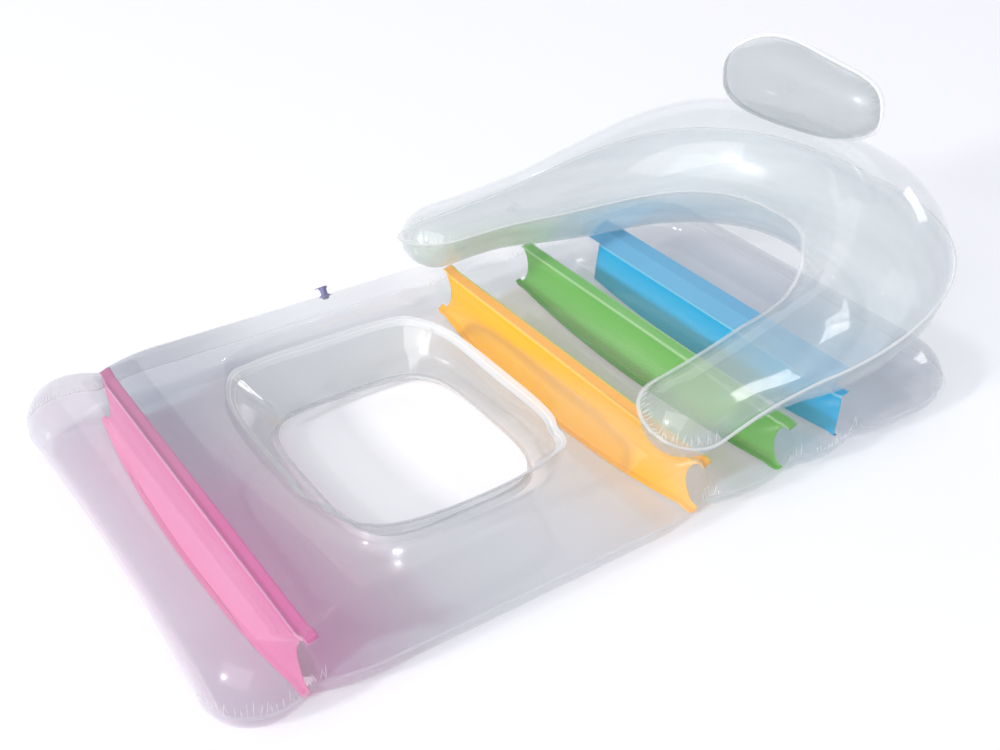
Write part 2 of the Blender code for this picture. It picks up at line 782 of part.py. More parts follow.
def backrest_tie(material, pivot, collection):
    """The blue strip that ties the arms to the blue web's weld line on the mattress."""
    tree = sheet_tree("backrest_bottom_sheet")
    low_z = WEB_TOP_Z + FILM + GAP
    grid = []
    reach_x = BLUE_X + TIE_REACH
    lowest = min(
        hit[0].z
        for hit in (
            tree.ray_cast(Vector((reach_x, y, 0)), Vector((0, 0, 1)))
            for y in np.linspace(0, TIE_HALF_LENGTH, CURVE_SAMPLES)
        )
        if hit[0]
    )
    for share in (0.0, 0.5, 1.0):
        line = []
        for i in range(WEB_STEPS + 1):
            y = TIE_HALF_LENGTH * (2 * i / WEB_STEPS - 1)
            z = low_z + FILM + (lowest - GAP - FILM - low_z - FILM) * sin(pi / 2 * share)
            line.append((BLUE_X + TIE_REACH * share, y, z))
        grid.append(line)
    mesh = mesh_from_faces("backrest_tie_strip", grid_faces(grid))
    return thicken(place(mesh, material, pivot, collection), offset=0.0)


def turned(name, profile, material, pivot, collection):
    """A turned piece about its pivot's Z; the profile runs down its outer side."""
    mesh = bpy.data.meshes.new(name)
    edges = [(i, i + 1) for i in range(len(profile) - 1)]
    if profile[0][0] > 0 and profile[-1][0] > 0:
        edges.append((len(profile) - 1, 0))
    mesh.from_pydata([(radius, 0, z) for radius, z in profile], edges, [])
    mesh.materials.append(material)
    obj = bpy.data.objects.new(name, mesh)
    obj.parent = pivot
    collection.objects.link(obj)
    screw = obj.modifiers.new("Turned", "SCREW")
    screw.steps = screw.render_steps = TURNED_STEPS
    screw.use_merge_vertices = True
    screw.merge_threshold = GAP / 10
    screw.use_smooth_shade = True
    return obj


def valve_base(name, material, pivot, collection):
    bore = VALVE_STEM_RADIUS + VALVE_CLEARANCE
    profile = [
        (VALVE_COLLAR_RADIUS, VALVE_BASE_THICKNESS + VALVE_COLLAR_HEIGHT),
        (VALVE_COLLAR_RADIUS, VALVE_BASE_THICKNESS),
        (VALVE_BASE_RADIUS, VALVE_BASE_THICKNESS),
        (VALVE_BASE_RADIUS, 0.0),
        (bore, 0.0),
        (bore, VALVE_BASE_THICKNESS + VALVE_COLLAR_HEIGHT),
    ]
    return turned(name, profile, material, pivot, collection)


def valve_stem(name, material, pivot, collection):
    low = -VALVE_STEM_BELOW
    profile = [
        (VALVE_LIP_RADIUS, VALVE_STEM_HEIGHT),
        (VALVE_LIP_RADIUS, VALVE_STEM_HEIGHT - VALVE_LIP_HEIGHT),
        (VALVE_STEM_RADIUS, VALVE_STEM_HEIGHT - VALVE_LIP_HEIGHT),
        (VALVE_STEM_RADIUS, low + VALVE_BEAD_HEIGHT),
        (VALVE_BEAD_RADIUS, low + VALVE_BEAD_HEIGHT),
        (VALVE_BEAD_RADIUS, low),
        (VALVE_BORE_RADIUS, low),
        (VALVE_BORE_RADIUS, VALVE_STEM_HEIGHT),
    ]
    return turned(name, profile, material, pivot, collection)


def box_mesh(bm, low, high):
    made = bmesh.ops.create_cube(bm, size=1.0)["verts"]
    size = [b - a for a, b in zip(low, high)]
    middle = [(a + b) / 2 for a, b in zip(low, high)]
    bmesh.ops.scale(bm, vec=size, verts=made)
    bmesh.ops.translate(bm, vec=middle, verts=made)


def joined_mesh(name, solids):
    """One mesh from overlapping solids, each a function that fills a bmesh, joined exactly."""
    objects = []
    for fill in solids:
        bm = bmesh.new()
        fill(bm)
        mesh = bpy.data.meshes.new(name)
        bm.to_mesh(mesh)
        bm.free()
        obj = bpy.data.objects.new(name, mesh)
        bpy.context.scene.collection.objects.link(obj)
        objects.append(obj)
    base = objects[0]
    for other in objects[1:]:
        join = base.modifiers.new("Join", "BOOLEAN")
        join.operation = "UNION"
        join.object = other
    bpy.context.view_layer.update()
    joined = bpy.data.meshes.new_from_object(
        base.evaluated_get(bpy.context.evaluated_depsgraph_get())
    )
    for obj in objects:
        mesh = obj.data
        bpy.data.objects.remove(obj, do_unlink=True)
        bpy.data.meshes.remove(mesh)
    joined.name = name
    return joined


def plug_mesh(name, hinge):
    """The stopper: head, tapered pin, pull tab and the strap that it hangs from."""

    def head(bm):
        bmesh.ops.create_cone(
            bm, cap_ends=True, segments=TURNED_STEPS, radius1=PLUG_HEAD_RADIUS,
            radius2=PLUG_HEAD_RADIUS, depth=PLUG_HEAD_HEIGHT,
        )
        bmesh.ops.translate(bm, vec=(0, 0, GAP + PLUG_HEAD_HEIGHT / 2), verts=bm.verts)

    def pin(bm):
        overrun = PLUG_HEAD_HEIGHT / 2
        bmesh.ops.create_cone(
            bm, cap_ends=True, segments=TURNED_STEPS, radius1=PLUG_PIN_TIP_RADIUS,
            radius2=PLUG_PIN_RADIUS, depth=PLUG_PIN_LENGTH + overrun,
        )
        bmesh.ops.translate(bm, vec=(0, 0, (overrun - PLUG_PIN_LENGTH) / 2), verts=bm.verts)

    def strap(bm):
        half = PLUG_STRAP_WIDTH / 2
        top = GAP + PLUG_HEAD_HEIGHT / 2
        box_mesh(bm, (-hinge, -half, top - PLUG_STRAP_THICKNESS), (-PLUG_HEAD_RADIUS / 2, half, top))

    def tab(bm):
        half = PLUG_TAB_WIDTH / 2
        end = PLUG_HEAD_RADIUS + PLUG_TAB_LENGTH
        low = GAP + PLUG_HEAD_HEIGHT / 4
        box_mesh(bm, (PLUG_HEAD_RADIUS / 2, -half, low), (end, half, low + PLUG_STRAP_THICKNESS))

    return joined_mesh(name, (head, pin, strap, tab))


def flap_mesh(name, radius):
    bm = bmesh.new()
    bmesh.ops.create_cone(
        bm, cap_ends=True, segments=TURNED_STEPS, radius1=radius, radius2=radius, depth=FLAP_THICKNESS
    )
    mesh = bpy.data.meshes.new(name)
    bm.to_mesh(mesh)
    bm.free()
    return mesh


def valve(chamber, place_at, direction, parent, sheet, materials, collections):
    """A push-in valve on a sheet: base, stem, stopper and one-way flap, each on its own pivot."""
    parts, cutters = collections
    plastic, film = materials
    rotation = direction.to_track_quat("Z", "Y")
    seat = place_at + direction * (GAP + stand_off(sheet, place_at, direction))
    base_pivot = pivot_empty(f"{chamber}_valve_axis", seat, rotation, parent, parts)
    valve_base(f"{chamber}_valve_base", plastic, base_pivot, parts)
    stem_pivot = pivot_empty(f"{chamber}_valve_stem_axis", seat, rotation, base_pivot, parts)
    valve_stem(f"{chamber}_valve_stem", plastic, stem_pivot, parts)
    hinge = VALVE_LIP_RADIUS + 2 * PLUG_STRAP_THICKNESS
    mouth = seat + direction * VALVE_STEM_HEIGHT
    frame = Matrix.Translation(mouth) @ rotation.to_matrix().to_4x4()
    plug = plug_mesh(f"{chamber}_valve_plug", hinge)
    plug.transform(frame)
    hinge_at = frame @ Vector((-hinge, 0, GAP + PLUG_HEAD_HEIGHT / 2 - PLUG_STRAP_THICKNESS / 2))
    plug_pivot = pivot_empty(f"{chamber}_valve_plug_axis", hinge_at, rotation, stem_pivot, parts)
    place(plug, plastic, plug_pivot, parts)
    low = Matrix.Translation(seat - direction * (VALVE_STEM_BELOW + GAP + FLAP_THICKNESS / 2))
    flap = flap_mesh(f"{chamber}_valve_flap", FLAP_RADIUS)
    flap.transform(low @ rotation.to_matrix().to_4x4())
    flap_at = low @ rotation.to_matrix().to_4x4() @ Vector((-FLAP_RADIUS, 0, FLAP_THICKNESS / 2))
    flap_pivot = pivot_empty(f"{chamber}_valve_flap_axis", flap_at, rotation, stem_pivot, parts)
    place(flap, film, flap_pivot, parts)
    cut_hole(sheet, f"{chamber}_valve_hole", seat, rotation, VALVE_FILM_HOLE_RADIUS, cutters)


def stand_off(sheet, place_at, direction):
    """How far a valve's base stands off, so that no facet round it comes through the base."""
    tree = sheet_tree(sheet)
    highest = 0.0
    for i in range(TURNED_STEPS):
        rim = Vector((cos(2 * pi * i / TURNED_STEPS), sin(2 * pi * i / TURNED_STEPS), 0)) * VALVE_BASE_RADIUS
        start = place_at + direction.to_track_quat("Z", "Y") @ rim + direction * VALVE_STEM_HEIGHT
        hit = tree.ray_cast(start, -direction)[0]
        if hit:
            highest = max(highest, (hit - place_at).dot(direction))
    return highest


def cut_hole(sheet, name, centre, rotation, radius, cutters):
    bm = bmesh.new()
    bmesh.ops.create_cone(
        bm, cap_ends=True, segments=TURNED_STEPS, radius1=radius, radius2=radius, depth=4 * radius
    )
    mesh = bpy.data.meshes.new(name)
    bm.to_mesh(mesh)
    bm.free()
    cutter = bpy.data.objects.new(name, mesh)
    cutter.parent = bpy.data.objects[sheet].parent
    matrix = Matrix.Translation(centre) @ rotation.to_matrix().to_4x4()
    mesh.transform(world_of(cutter.parent).inverted() @ matrix)
    cutter.display_type = "WIRE"
    cutter.hide_render = True
    cutters.objects.link(cutter)
    cut = bpy.data.objects[sheet].modifiers.new("Valve hole", "BOOLEAN")
    cut.operation = "DIFFERENCE"
    cut.object = cutter


def facet_under(sheet, start, direction):
    """Where a line meets a sheet's outer face, and that face's outward normal."""
    hit, normal, _, _ = sheet_tree(sheet).ray_cast(start, direction)
    return hit, normal if normal.dot(direction) < 0 else -normal


def place_valves(pivots, materials, collections):
    root, back, pillow = pivots
    x = MATTRESS_VALVE_FROM_FOOT
    start = Vector((x, half_width(x) - MATTRESS_VALVE_INSET, WEB_TOP_Z + BULGE_REACH))
    hit, normal = facet_under("mattress_top_sheet", start, Vector((0, 0, -1)))
    valve("mattress", hit, normal, root, "mattress_top_sheet", materials, collections)
    start = Vector((BLUE_X + BACKREST_VALVE_FROM_BLUE, 2 * HALF_WIDTH, WEB_LIFT + ARM_SEAM_RISE - ARM_BELLY / 3))
    hit, normal = facet_under("backrest_bottom_sheet", start, Vector((0, -1, 0)))
    valve("backrest", hit, normal, back, "backrest_bottom_sheet", materials, collections)
    frame = pillow_frame()
    start = frame @ Vector((PILLOW_THICKNESS, PILLOW_VALVE_SIDE, -PILLOW_HALF_HEIGHT / 3))
    away = frame.to_3x3() @ Vector((-1, 0, 0))
    hit, normal = facet_under("pillow_back_sheet", start, away)
    valve("pillow", hit, normal, pillow, "pillow_back_sheet", materials, collections)


def centre_on_ground(root):
    """Moves the lounger so that the middle of its footprint is the origin, on the ground."""
    bpy.context.view_layer.update()
    graph = bpy.context.evaluated_depsgraph_get()
    corners = []
    for obj in bpy.data.objects:
        if obj.type != "MESH" or obj.hide_render:
            continue
        evaluated = obj.evaluated_get(graph)
        mesh = evaluated.to_mesh()
        points = np.empty(len(mesh.vertices) * 3, np.float32)
        mesh.vertices.foreach_get("co", points)
        matrix = np.array(evaluated.matrix_world)
        corners.append(points.reshape(-1, 3) @ matrix[:3, :3].T + matrix[:3, 3])
        evaluated.to_mesh_clear()
    points = np.concatenate(corners)
    low, high = points.min(axis=0), points.max(axis=0)
    root.location = (-(low[0] + high[0]) / 2, -(low[1] + high[1]) / 2, -low[2])
    bpy.context.view_layer.update()


def main():
    clear_scene()
    parts = new_collection("Pool lounger")
    cutters = new_collection("Cutters")
    clear = film_material("Clear film", (0.78, 0.83, 0.86), 0.12, 0.35)
    pink = film_material("Pink film", (0.83, 0.24, 0.43), 0.25, 1.0)
    yellow = film_material("Yellow film", (0.93, 0.45, 0.04), 0.25, 1.0)
    green = film_material("Green film", (0.16, 0.42, 0.11), 0.25, 1.0)
    blue = film_material("Blue film", (0.04, 0.33, 0.62), 0.25, 1.0)
    plastic = film_material("Valve plastic", (0.36, 0.35, 0.55), 0.35, 1.0)

    level = Matrix.Identity(3).to_quaternion()
    root = pivot_empty("lounger", Vector(), level, None, parts)
    back = pivot_empty("backrest_axis", Vector((BLUE_X, 0, WEB_TOP_Z)), level, root, parts)
    crest = backrest_crest()
    pillow = pivot_empty("pillow_axis", crest + Vector((0, 0, GAP)), level, back, parts)

    window_top = (WINDOW_X, WINDOW_TOP_LENGTH, WINDOW_TOP_WIDTH)
    window_low = (WINDOW_X + WINDOW_LOW_SHIFT, WINDOW_LOW_LENGTH, WINDOW_LOW_WIDTH)
    mattress_sheet("mattress_top_sheet", window_top, top_height, 1, clear, root, parts)
    mattress_sheet("mattress_bottom_sheet", window_low, low_height, -1, clear, root, parts)
    window_wall(clear, root, parts)
    web("pink_web", PINK_X, WEB_HALF_LENGTH, WEB_NOTCH, pink, root, parts)
    web("yellow_web", YELLOW_X, WEB_HALF_LENGTH, WEB_NOTCH, yellow, root, parts)
    web("green_web", GREEN_X, WEB_HALF_LENGTH, WEB_NOTCH, green, root, parts)
    web("blue_web", BLUE_X, BLUE_HALF_LENGTH, 0.0, blue, root, parts)

    backrest_sheet("backrest_top_sheet", 1, clear, back, parts)
    backrest_sheet("backrest_bottom_sheet", -1, clear, back, parts)
    backrest_tie(blue, back, parts)
    pillow_tie(clear, back, parts)
    pillow_sheet("pillow_front_sheet", -1, clear, pillow, parts)
    pillow_sheet("pillow_back_sheet", 1, clear, pillow, parts)

    place_valves((root, back, pillow), (plastic, clear), (parts, cutters))
    set_down(
        pillow,
        ("pillow_front_sheet", "pillow_back_sheet"),
        ("backrest_top_sheet", "pillow_tie_strip"),
        PILLOW_TIE_CLEARANCE,
    )
    centre_on_ground(root)


main()
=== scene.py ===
"""Inflatable pool lounger in clear calendered film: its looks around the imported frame.

The frame gives every piece its place. The soft pieces are made again here as fine film: the two
mattress sheets with their seat window, four coloured webs, the horseshoe backrest, the pillow and
the strips between them. X runs from foot to head, Y across, Z up, in metres.
"""

from math import cos, pi, radians, sin

import bmesh
import bpy
import numpy as np
from mathutils import Euler, Matrix, Vector
from mathutils.kdtree import KDTree

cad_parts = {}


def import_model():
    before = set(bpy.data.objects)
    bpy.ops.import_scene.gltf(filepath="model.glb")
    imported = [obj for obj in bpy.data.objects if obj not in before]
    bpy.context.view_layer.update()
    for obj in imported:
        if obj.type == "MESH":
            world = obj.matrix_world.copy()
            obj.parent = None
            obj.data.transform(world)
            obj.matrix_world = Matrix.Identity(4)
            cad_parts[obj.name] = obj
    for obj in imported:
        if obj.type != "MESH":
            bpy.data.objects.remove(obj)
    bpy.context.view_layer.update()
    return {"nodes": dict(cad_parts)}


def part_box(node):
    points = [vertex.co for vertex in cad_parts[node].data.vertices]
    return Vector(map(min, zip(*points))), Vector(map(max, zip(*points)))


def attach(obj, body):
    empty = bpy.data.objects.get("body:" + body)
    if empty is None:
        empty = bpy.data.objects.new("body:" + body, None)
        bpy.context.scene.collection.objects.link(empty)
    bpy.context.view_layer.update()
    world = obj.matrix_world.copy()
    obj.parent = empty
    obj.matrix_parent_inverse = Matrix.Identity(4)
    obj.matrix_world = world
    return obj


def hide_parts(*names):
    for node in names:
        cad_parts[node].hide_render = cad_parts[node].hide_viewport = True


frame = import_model()

# Film
FILM = 0.0004
GAP = 0.0003
WELD_BAND = 0.006
MERGE = 0.00002
SHARP = radians(38)

# Mattress cells, from the foot seam to the head seam, and how far each swells
FOOT_CELL = 0.137
SEAT_CELL = 0.661
THIGH_CELL = 0.182
TIE_CELL = 0.135
HEAD_CELL = 0.272
TOP_BULGES = (0.027, 0.030, 0.020, 0.014, 0.016)
LOW_BULGES = (0.023, 0.0255, 0.017, 0.0165, 0.0165)
HALF_WIDTH = 0.386
SIDE_SWELL = 0.016
FOOT_CORNER_RADIUS = 0.082
HEAD_CORNER_RADIUS = 0.105
FOOT_BOW = 0.015
EDGE_RADIUS = 0.058
WEB_LIFT = 0.014
WEB_HEIGHT = 0.073
SEAM_RISE = 0.033
BULGE_REACH = 0.060
SEAT_BULGE_REACH = 0.095
END_FILL = 0.80

# Seat window
WINDOW_FROM_PINK = 0.335
WINDOW_TOP = (0.395, 0.462)
WINDOW_LOW = (0.322, 0.362)
WINDOW_LOW_SHIFT = 0.017
WINDOW_TOP_RISE = 0.010
WINDOW_LOW_RISE = 0.011
WINDOW_SAG = 0.006
WINDOW_SWELL = 0.068
WINDOW_CORNER_POWER = 4.2
WINDOW_WALL_BOW = 0.006
RING_LINES = (0.0, 0.0015, 0.0075, 0.0090, 0.0150)
RING_KINKS = (
    (radians(-158), 0.09, 0.007),
    (radians(-148), 0.07, -0.004),
    (radians(-48), 0.08, 0.006),
    (radians(-38), 0.06, -0.003),
    (radians(130), 0.10, 0.004),
    (radians(50), 0.10, 0.003),
)

# Webs
WEB_HALF_LENGTH = 0.360
WEB_NOTCH = 0.034
GREEN_NOTCH = 0.026
WEB_FLANGE = 0.017
BLUE_HALF_LENGTH = 0.345
BLUE_FAR_END = 0.82
WELD_LINE = 0.0035
WEB_TOP_SHARE = 0.99
WEB_WAVE = 0.0016
WEB_WAVE_TURNS = 5
WEB_WAVE_START = 40
CUT_EDGE = 0.0022
LOW_MARGIN_SHARES = (1.0, 0.6, 0.3, 0.0)
HIGH_MARGIN_LINES = (0.0, 0.0015, 0.006, 0.011, WEB_FLANGE - CUT_EDGE, WEB_FLANGE)
LEAN_POWER = 1.3
YELLOW_LEAN = 0.033
GREEN_LEAN = 0.024
BLUE_LEAN = 0.020
PINK_LEAN = 0.024
LOW_MARGIN = 0.009

# Where painted light and painted shade from the webs lie on the film, and where it is clearer in front
# of the webs
PINK_LIGHT_REACH = 0.150
PINK_LIGHT_END = 0.200
FOOT_LIGHT = 0.60
FOOT_SPREAD = 0.400
BLUE_SHADE_AT = 0.100
BLUE_SHADE_REACH = 0.150
HEAD_SHADE = 0.36
ORANGE_LIGHT_REACH = 0.140
ORANGE_LIGHT_END = 0.060
LIGHT_FADE = 0.300
WEB_VIEW_AT = 0.040
WEB_VIEW_REACH = 0.050
ARM_LIGHT_Z = 0.235
ARM_LIGHT_Y = 0.350
ARM_LIGHT_REACH = 0.050

# Backrest
BACK_APEX = 0.258
BACK_CURVE = 0.384
BACK_HALF_SPAN = 0.314
BACK_POWER = 2.5
ARM_LENGTH = 0.284
ARM_SPLAY = 0.026
ARM_TIP_RADIUS = 0.072
BACK_SHARES = (0.0, 0.30, 0.56, 0.80, 1.0)
SEAM_RISES = (0.243, 0.232, 0.196, 0.182, 0.168)
HALF_CHORDS = (0.096, 0.120, 0.092, 0.070, 0.070)
CROWNS = (0.116, 0.112, 0.076, 0.052, 0.052)
BELLIES = (0.116, 0.122, 0.098, 0.064, 0.064)
APEX_TILT = radians(14)
ARM_TILT = radians(-14)

# Pillow
PILLOW_HALF_WIDTH = 0.168
PILLOW_HALF_HEIGHT = 0.072
PILLOW_THICKNESS = 0.100
PILLOW_POWER = 2.7
PILLOW_TURN = (radians(-4), radians(-2), radians(4))
PILLOW_BEND = 0.020
PILLOW_CUT = 0.27
PILLOW_HUMP = 0.011

# Gathers
GATHER_SPREAD = 0.030
GATHER_LEAST = 0.0
CORNER_BEND = 10.0
LEAST_BEND = 3.0
SMOOTH_GATHER = 0.3
GATHER_RISE = 3
# Height, wave lengths, reach from the seam and random seed
MATTRESS_GATHERS = (0.0022, (0.031, 0.047, 0.022), 0.024, 11)
WALL_GATHERS = (0.0010, (0.021, 0.034, 0.015), 0.030, 17)
BACKREST_GATHERS = (0.0018, (0.023, 0.037, 0.017), 0.020, 23)
PILLOW_GATHERS = (0.0020, (0.019, 0.031, 0.014), 0.018, 37)

# Looks of the film: how fast the tube's folds change along it, the share of light that dyed film
# lets through, how near to edge-on the film is painted pale as a painted reflection, and its refraction
STRIPE_RUN = 1.6
PASSED_SHARE = 0.7
RIM_POWER = 4.0
FILM_IOR = 1.53
MM_PER_M = 1000

# Creases at the seams: how far apart, how long, how wide, and how high they stand
CREASE_PITCH = 0.0075
CREASE_LENGTHS = (0.010, 0.026)
CREASE_WIDTH = 0.0006
CREASE_LIFT = 0.0002
CREASE_LEAST_GATHER = 0.35
CREASE_TIP = CREASE_WIDTH / 10
CREASE_STRAY = 0.3
CREASE_SEED = 5
CREASE_POINTS = 7
CREASE_SIDES = 5

# Mesh steps
CELL_STEP = 0.0062
ROWS = 116
RINGS = 30
TUBE_STEPS = 48
BACK_STEPS = 230
PILLOW_SECTORS = 220
PILLOW_RINGS = 42
WEB_STEPS = 120
WEB_ROWS = 22
WALL_ROWS = 22
BACK_LINE_STEPS = 1200
BACK_EVEN_SHARE = 0.6
EDGE_CROWDING = 1.6

# Where the cells lie in the frame
PINK_LOW, PINK_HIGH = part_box("pink_web")
OFFSET = Vector(((PINK_LOW.x + PINK_HIGH.x) / 2 - FOOT_CELL, 0.0, FILM))
PINK_X = FOOT_CELL
YELLOW_X = PINK_X + SEAT_CELL
GREEN_X = YELLOW_X + THIGH_CELL
BLUE_X = GREEN_X + TIE_CELL
HEAD_X = BLUE_X + HEAD_CELL
CELL_ENDS = (0.0, PINK_X, YELLOW_X, GREEN_X, BLUE_X, HEAD_X)
SEAM_Z = WEB_LIFT + SEAM_RISE
WEB_TOP_Z = WEB_LIFT + WEB_HEIGHT
WINDOW_X = PINK_X + WINDOW_FROM_PINK


def colour(code):
    """Linear colour of an sRGB hex value."""
    share = np.array([int(code[i : i + 2], 16) / 255 for i in (0, 2, 4)])
    linear = np.where(share <= 0.04045, share / 12.92, ((share + 0.055) / 1.055) ** 2.4)
    return (*(float(value) for value in linear), 1.0)


def rounded(share):
    """Height share of a round edge: 0 on the seam, 1 where the round ends."""
    share = np.clip(share, 0.0, 1.0)
    return np.sqrt(share * (2.0 - share))


def smooth(share):
    share = np.clip(share, 0.0, 1.0)
    return share * share * (3.0 - 2.0 * share)


def cell_of(x):
    return np.clip(np.searchsorted(CELL_ENDS, x, side="right") - 1, 0, len(TOP_BULGES) - 1)


def swell(x):
    """How far the film between two webs stands out, as a share: 0 on a web."""
    ends = np.array(CELL_ENDS)
    cell = cell_of(x)
    start, end = ends[cell], ends[cell + 1]
    reach = np.minimum(SEAT_BULGE_REACH, (end - start) / 2)
    near = np.minimum(x - start, end - x) / reach
    near = np.where(cell == 0, (end - x) / BULGE_REACH, near)
    near = np.where(cell == len(TOP_BULGES) - 1, (x - start) / SEAT_BULGE_REACH, near)
    return 1.0 - np.clip(1.0 - near, 0.0, 1.0) ** 2


def side_of(x):
    return HALF_WIDTH + SIDE_SWELL * (swell(x) - 0.5)


def end_of(x):
    """Distance from the nearest end seam, and the radius of the corners there."""
    foot = x < HEAD_X - x
    return np.where(foot, x, HEAD_X - x), np.where(foot, FOOT_CORNER_RADIUS, HEAD_CORNER_RADIUS)


def half_width(x):
    from_end, radius = end_of(x)
    share = np.clip(1.0 - from_end / radius, 0.0, 1.0)
    return side_of(x) - radius + radius * np.sqrt(1.0 - share**2)


def edge_share(x, y):
    from_end, radius = end_of(x)
    from_side = side_of(x) - np.abs(y)
    distance = np.minimum(from_end, from_side)
    corner = radius - np.hypot(radius - from_end, radius - from_side)
    distance = np.where(np.maximum(from_end, from_side) < radius, corner, distance)
    return rounded(distance / EDGE_RADIUS)


def bulge_share(x, y):
    """Share of its cell's bulge that the film reaches; it fills up past the webs' ends."""
    free = smooth((np.abs(y) - WEB_HALF_LENGTH + WEB_NOTCH) / WEB_NOTCH) * END_FILL
    share = swell(x)
    return share + (1.0 - share) * free


def window_share(x, y, centre, size):
    across, along = np.abs(y) / (size[1] / 2), np.abs(x - centre) / (size[0] / 2)
    reach = (across**WINDOW_CORNER_POWER + along**WINDOW_CORNER_POWER) ** (1 / WINDOW_CORNER_POWER)
    distance = np.hypot(x - centre, y) * (1.0 - 1.0 / np.maximum(reach, 1.0))
    return rounded((distance - WELD_BAND) / WINDOW_SWELL)


def window_top_z(x, y):
    """The upper weld sags between its corners."""
    turn = np.arctan2(y / WINDOW_TOP[1], (x - WINDOW_X) / WINDOW_TOP[0])
    return WEB_TOP_Z + WINDOW_TOP_RISE - WINDOW_SAG * np.cos(2 * turn) ** 2


def top_height(x, y):
    bulge = np.array(TOP_BULGES)[cell_of(x)] * bulge_share(x, y)
    height = SEAM_Z + (WEB_TOP_Z + bulge - SEAM_Z) * edge_share(x, y)
    share = window_share(x, y, WINDOW_X, WINDOW_TOP)
    ring = window_top_z(x, y)
    seat = (x > PINK_X) & (x < YELLOW_X)
    return np.where(seat, ring + (height - ring) * share, height)


def low_height(x, y):
    bulge = np.array(LOW_BULGES)[cell_of(x)] * bulge_share(x, y)
    height = SEAM_Z - (SEAM_Z - WEB_LIFT + bulge) * edge_share(x, y)
    share = window_share(x, y, WINDOW_X + WINDOW_LOW_SHIFT, WINDOW_LOW)
    ring = WEB_LIFT + WINDOW_LOW_RISE
    seat = (x > PINK_X) & (x < YELLOW_X)
    return np.maximum(np.where(seat, ring + (height - ring) * share, height), 0.0)


def rows_between(low, high, count):
    """Rows that crowd towards both ends, where the film turns steep."""
    even = np.linspace(-1.0, 1.0, count + 1)
    crowded = np.sign(even) * (1.0 - (1.0 - np.abs(even)) ** EDGE_CROWDING)
    return low + (crowded + 1.0) / 2 * (high - low)


def window_outline(square_x, square_y, centre, size, grow=0.0, kinks=()):
    """The window's outline; a kink is an angle from the head side, a width and how far it stands out."""
    power = WINDOW_CORNER_POWER
    reach = (np.abs(square_x) ** power + np.abs(square_y) ** power) ** (-1 / power)
    turn = np.arctan2(square_y, square_x)
    kink = 0.0
    for at, wide, rise in kinks:
        from_kink = (turn - at + pi) % (2 * pi) - pi
        kink = kink + rise * np.exp(-((from_kink / wide) ** 2))
    return (
        centre + square_x * reach * (size[0] / 2 + grow + kink),
        square_y * reach * (size[1] / 2 + grow + kink),
    )


def square_walk():
    """Once round the edge of the unit square, closed."""
    columns = np.linspace(-1.0, 1.0, int(SEAT_CELL / CELL_STEP) + 1)
    rows = rows_between(-1.0, 1.0, ROWS)
    x = np.concatenate([columns[:-1], np.ones(ROWS), -columns[:-1], -np.ones(ROWS + 1)])
    y = np.concatenate([-np.ones(len(columns) - 1), rows[:-1], np.ones(len(columns) - 1), -rows])
    return x, y


def foot_bow(x, y):
    near = np.clip(1.0 - x / PINK_X, 0.0, 1.0)
    return FOOT_BOW * near * near * (1.0 - (y / HALF_WIDTH) ** 2)


def mattress_grids(centre, size, height, seam_z):
    """Grids of one mattress sheet: a ring round the window, and the plain cells."""
    grids = []
    square_x, square_y = square_walk()
    kinks = RING_KINKS if size == WINDOW_TOP else ()
    inner_x, inner_y = window_outline(square_x, square_y, centre, size, kinks=kinks)
    outer_x = PINK_X + (square_x + 1) / 2 * SEAT_CELL
    outer_y = square_y * half_width(outer_x)
    gap = np.hypot(outer_x - inner_x, outer_y - inner_y)[None, :]
    rest = rows_between(0.0, 1.0, RINGS)[:, None]
    welded = np.array(RING_LINES)[:, None] / gap
    share = np.concatenate([welded, welded[-1:] + (1.0 - welded[-1:]) * rest[1:]])
    grids.append((inner_x + (outer_x - inner_x) * share, inner_y + (outer_y - inner_y) * share))
    for cell in (0, 2, 3, 4):
        start, end = CELL_ENDS[cell], CELL_ENDS[cell + 1]
        stations = np.linspace(start, end, int((end - start) / CELL_STEP) + 2)
        if cell == 0:
            stations = start + (end - start) * np.linspace(0.0, 1.0, len(stations)) ** EDGE_CROWDING
        if cell == 4:
            stations = end - (end - start) * np.linspace(1.0, 0.0, len(stations)) ** EDGE_CROWDING
        x = np.repeat(stations[:, None], ROWS + 1, axis=1)
        grids.append((x, rows_between(-1.0, 1.0, ROWS)[None, :] * half_width(x)))
    shaped = []
    for x, y in grids:
        z = height(x, y)
        z = np.where(np.abs(z - SEAM_Z) < GAP, seam_z, z)
        shaped.append(np.stack([x + foot_bow(x, y), y, z], axis=-1))
    return shaped


def grid_mesh(name, grids, strips=None):
    """One mesh from grids of points, merged where they meet; strips colour the first one's rows."""
    points, quads, count = [], [], 0
    for grid in grids:
        rows, columns = grid.shape[:2]
        index = count + np.arange(rows * columns).reshape(rows, columns)
        corners = (index[:-1, :-1], index[:-1, 1:], index[1:, 1:], index[1:, :-1])
        quads.append(np.stack(corners, axis=-1).reshape(-1, 4))
        points.append(grid.reshape(-1, 3))
        count += rows * columns
    mesh = bpy.data.meshes.new(name)
    mesh.from_pydata(np.concatenate(points).tolist(), [], np.concatenate(quads).tolist())
    if strips:
        places = np.repeat(np.array(strips), grids[0].shape[1] - 1)
        places = np.concatenate([places, np.zeros(len(mesh.polygons) - len(places), int)])
        mesh.polygons.foreach_set("material_index", places.astype(np.int32))
    bm = bmesh.new()
    bm.from_mesh(mesh)
    bmesh.ops.remove_doubles(bm, verts=bm.verts, dist=MERGE)
    bmesh.ops.dissolve_degenerate(bm, edges=bm.edges, dist=MERGE)
    bmesh.ops.recalc_face_normals(bm, faces=bm.faces)
    bm.to_mesh(mesh)
    bm.free()
    return mesh


def face_along(mesh, up):
    total = sum((face.normal * face.area for face in mesh.polygons), Vector())
    if total.dot(up) < 0:
        mesh.flip_normals()


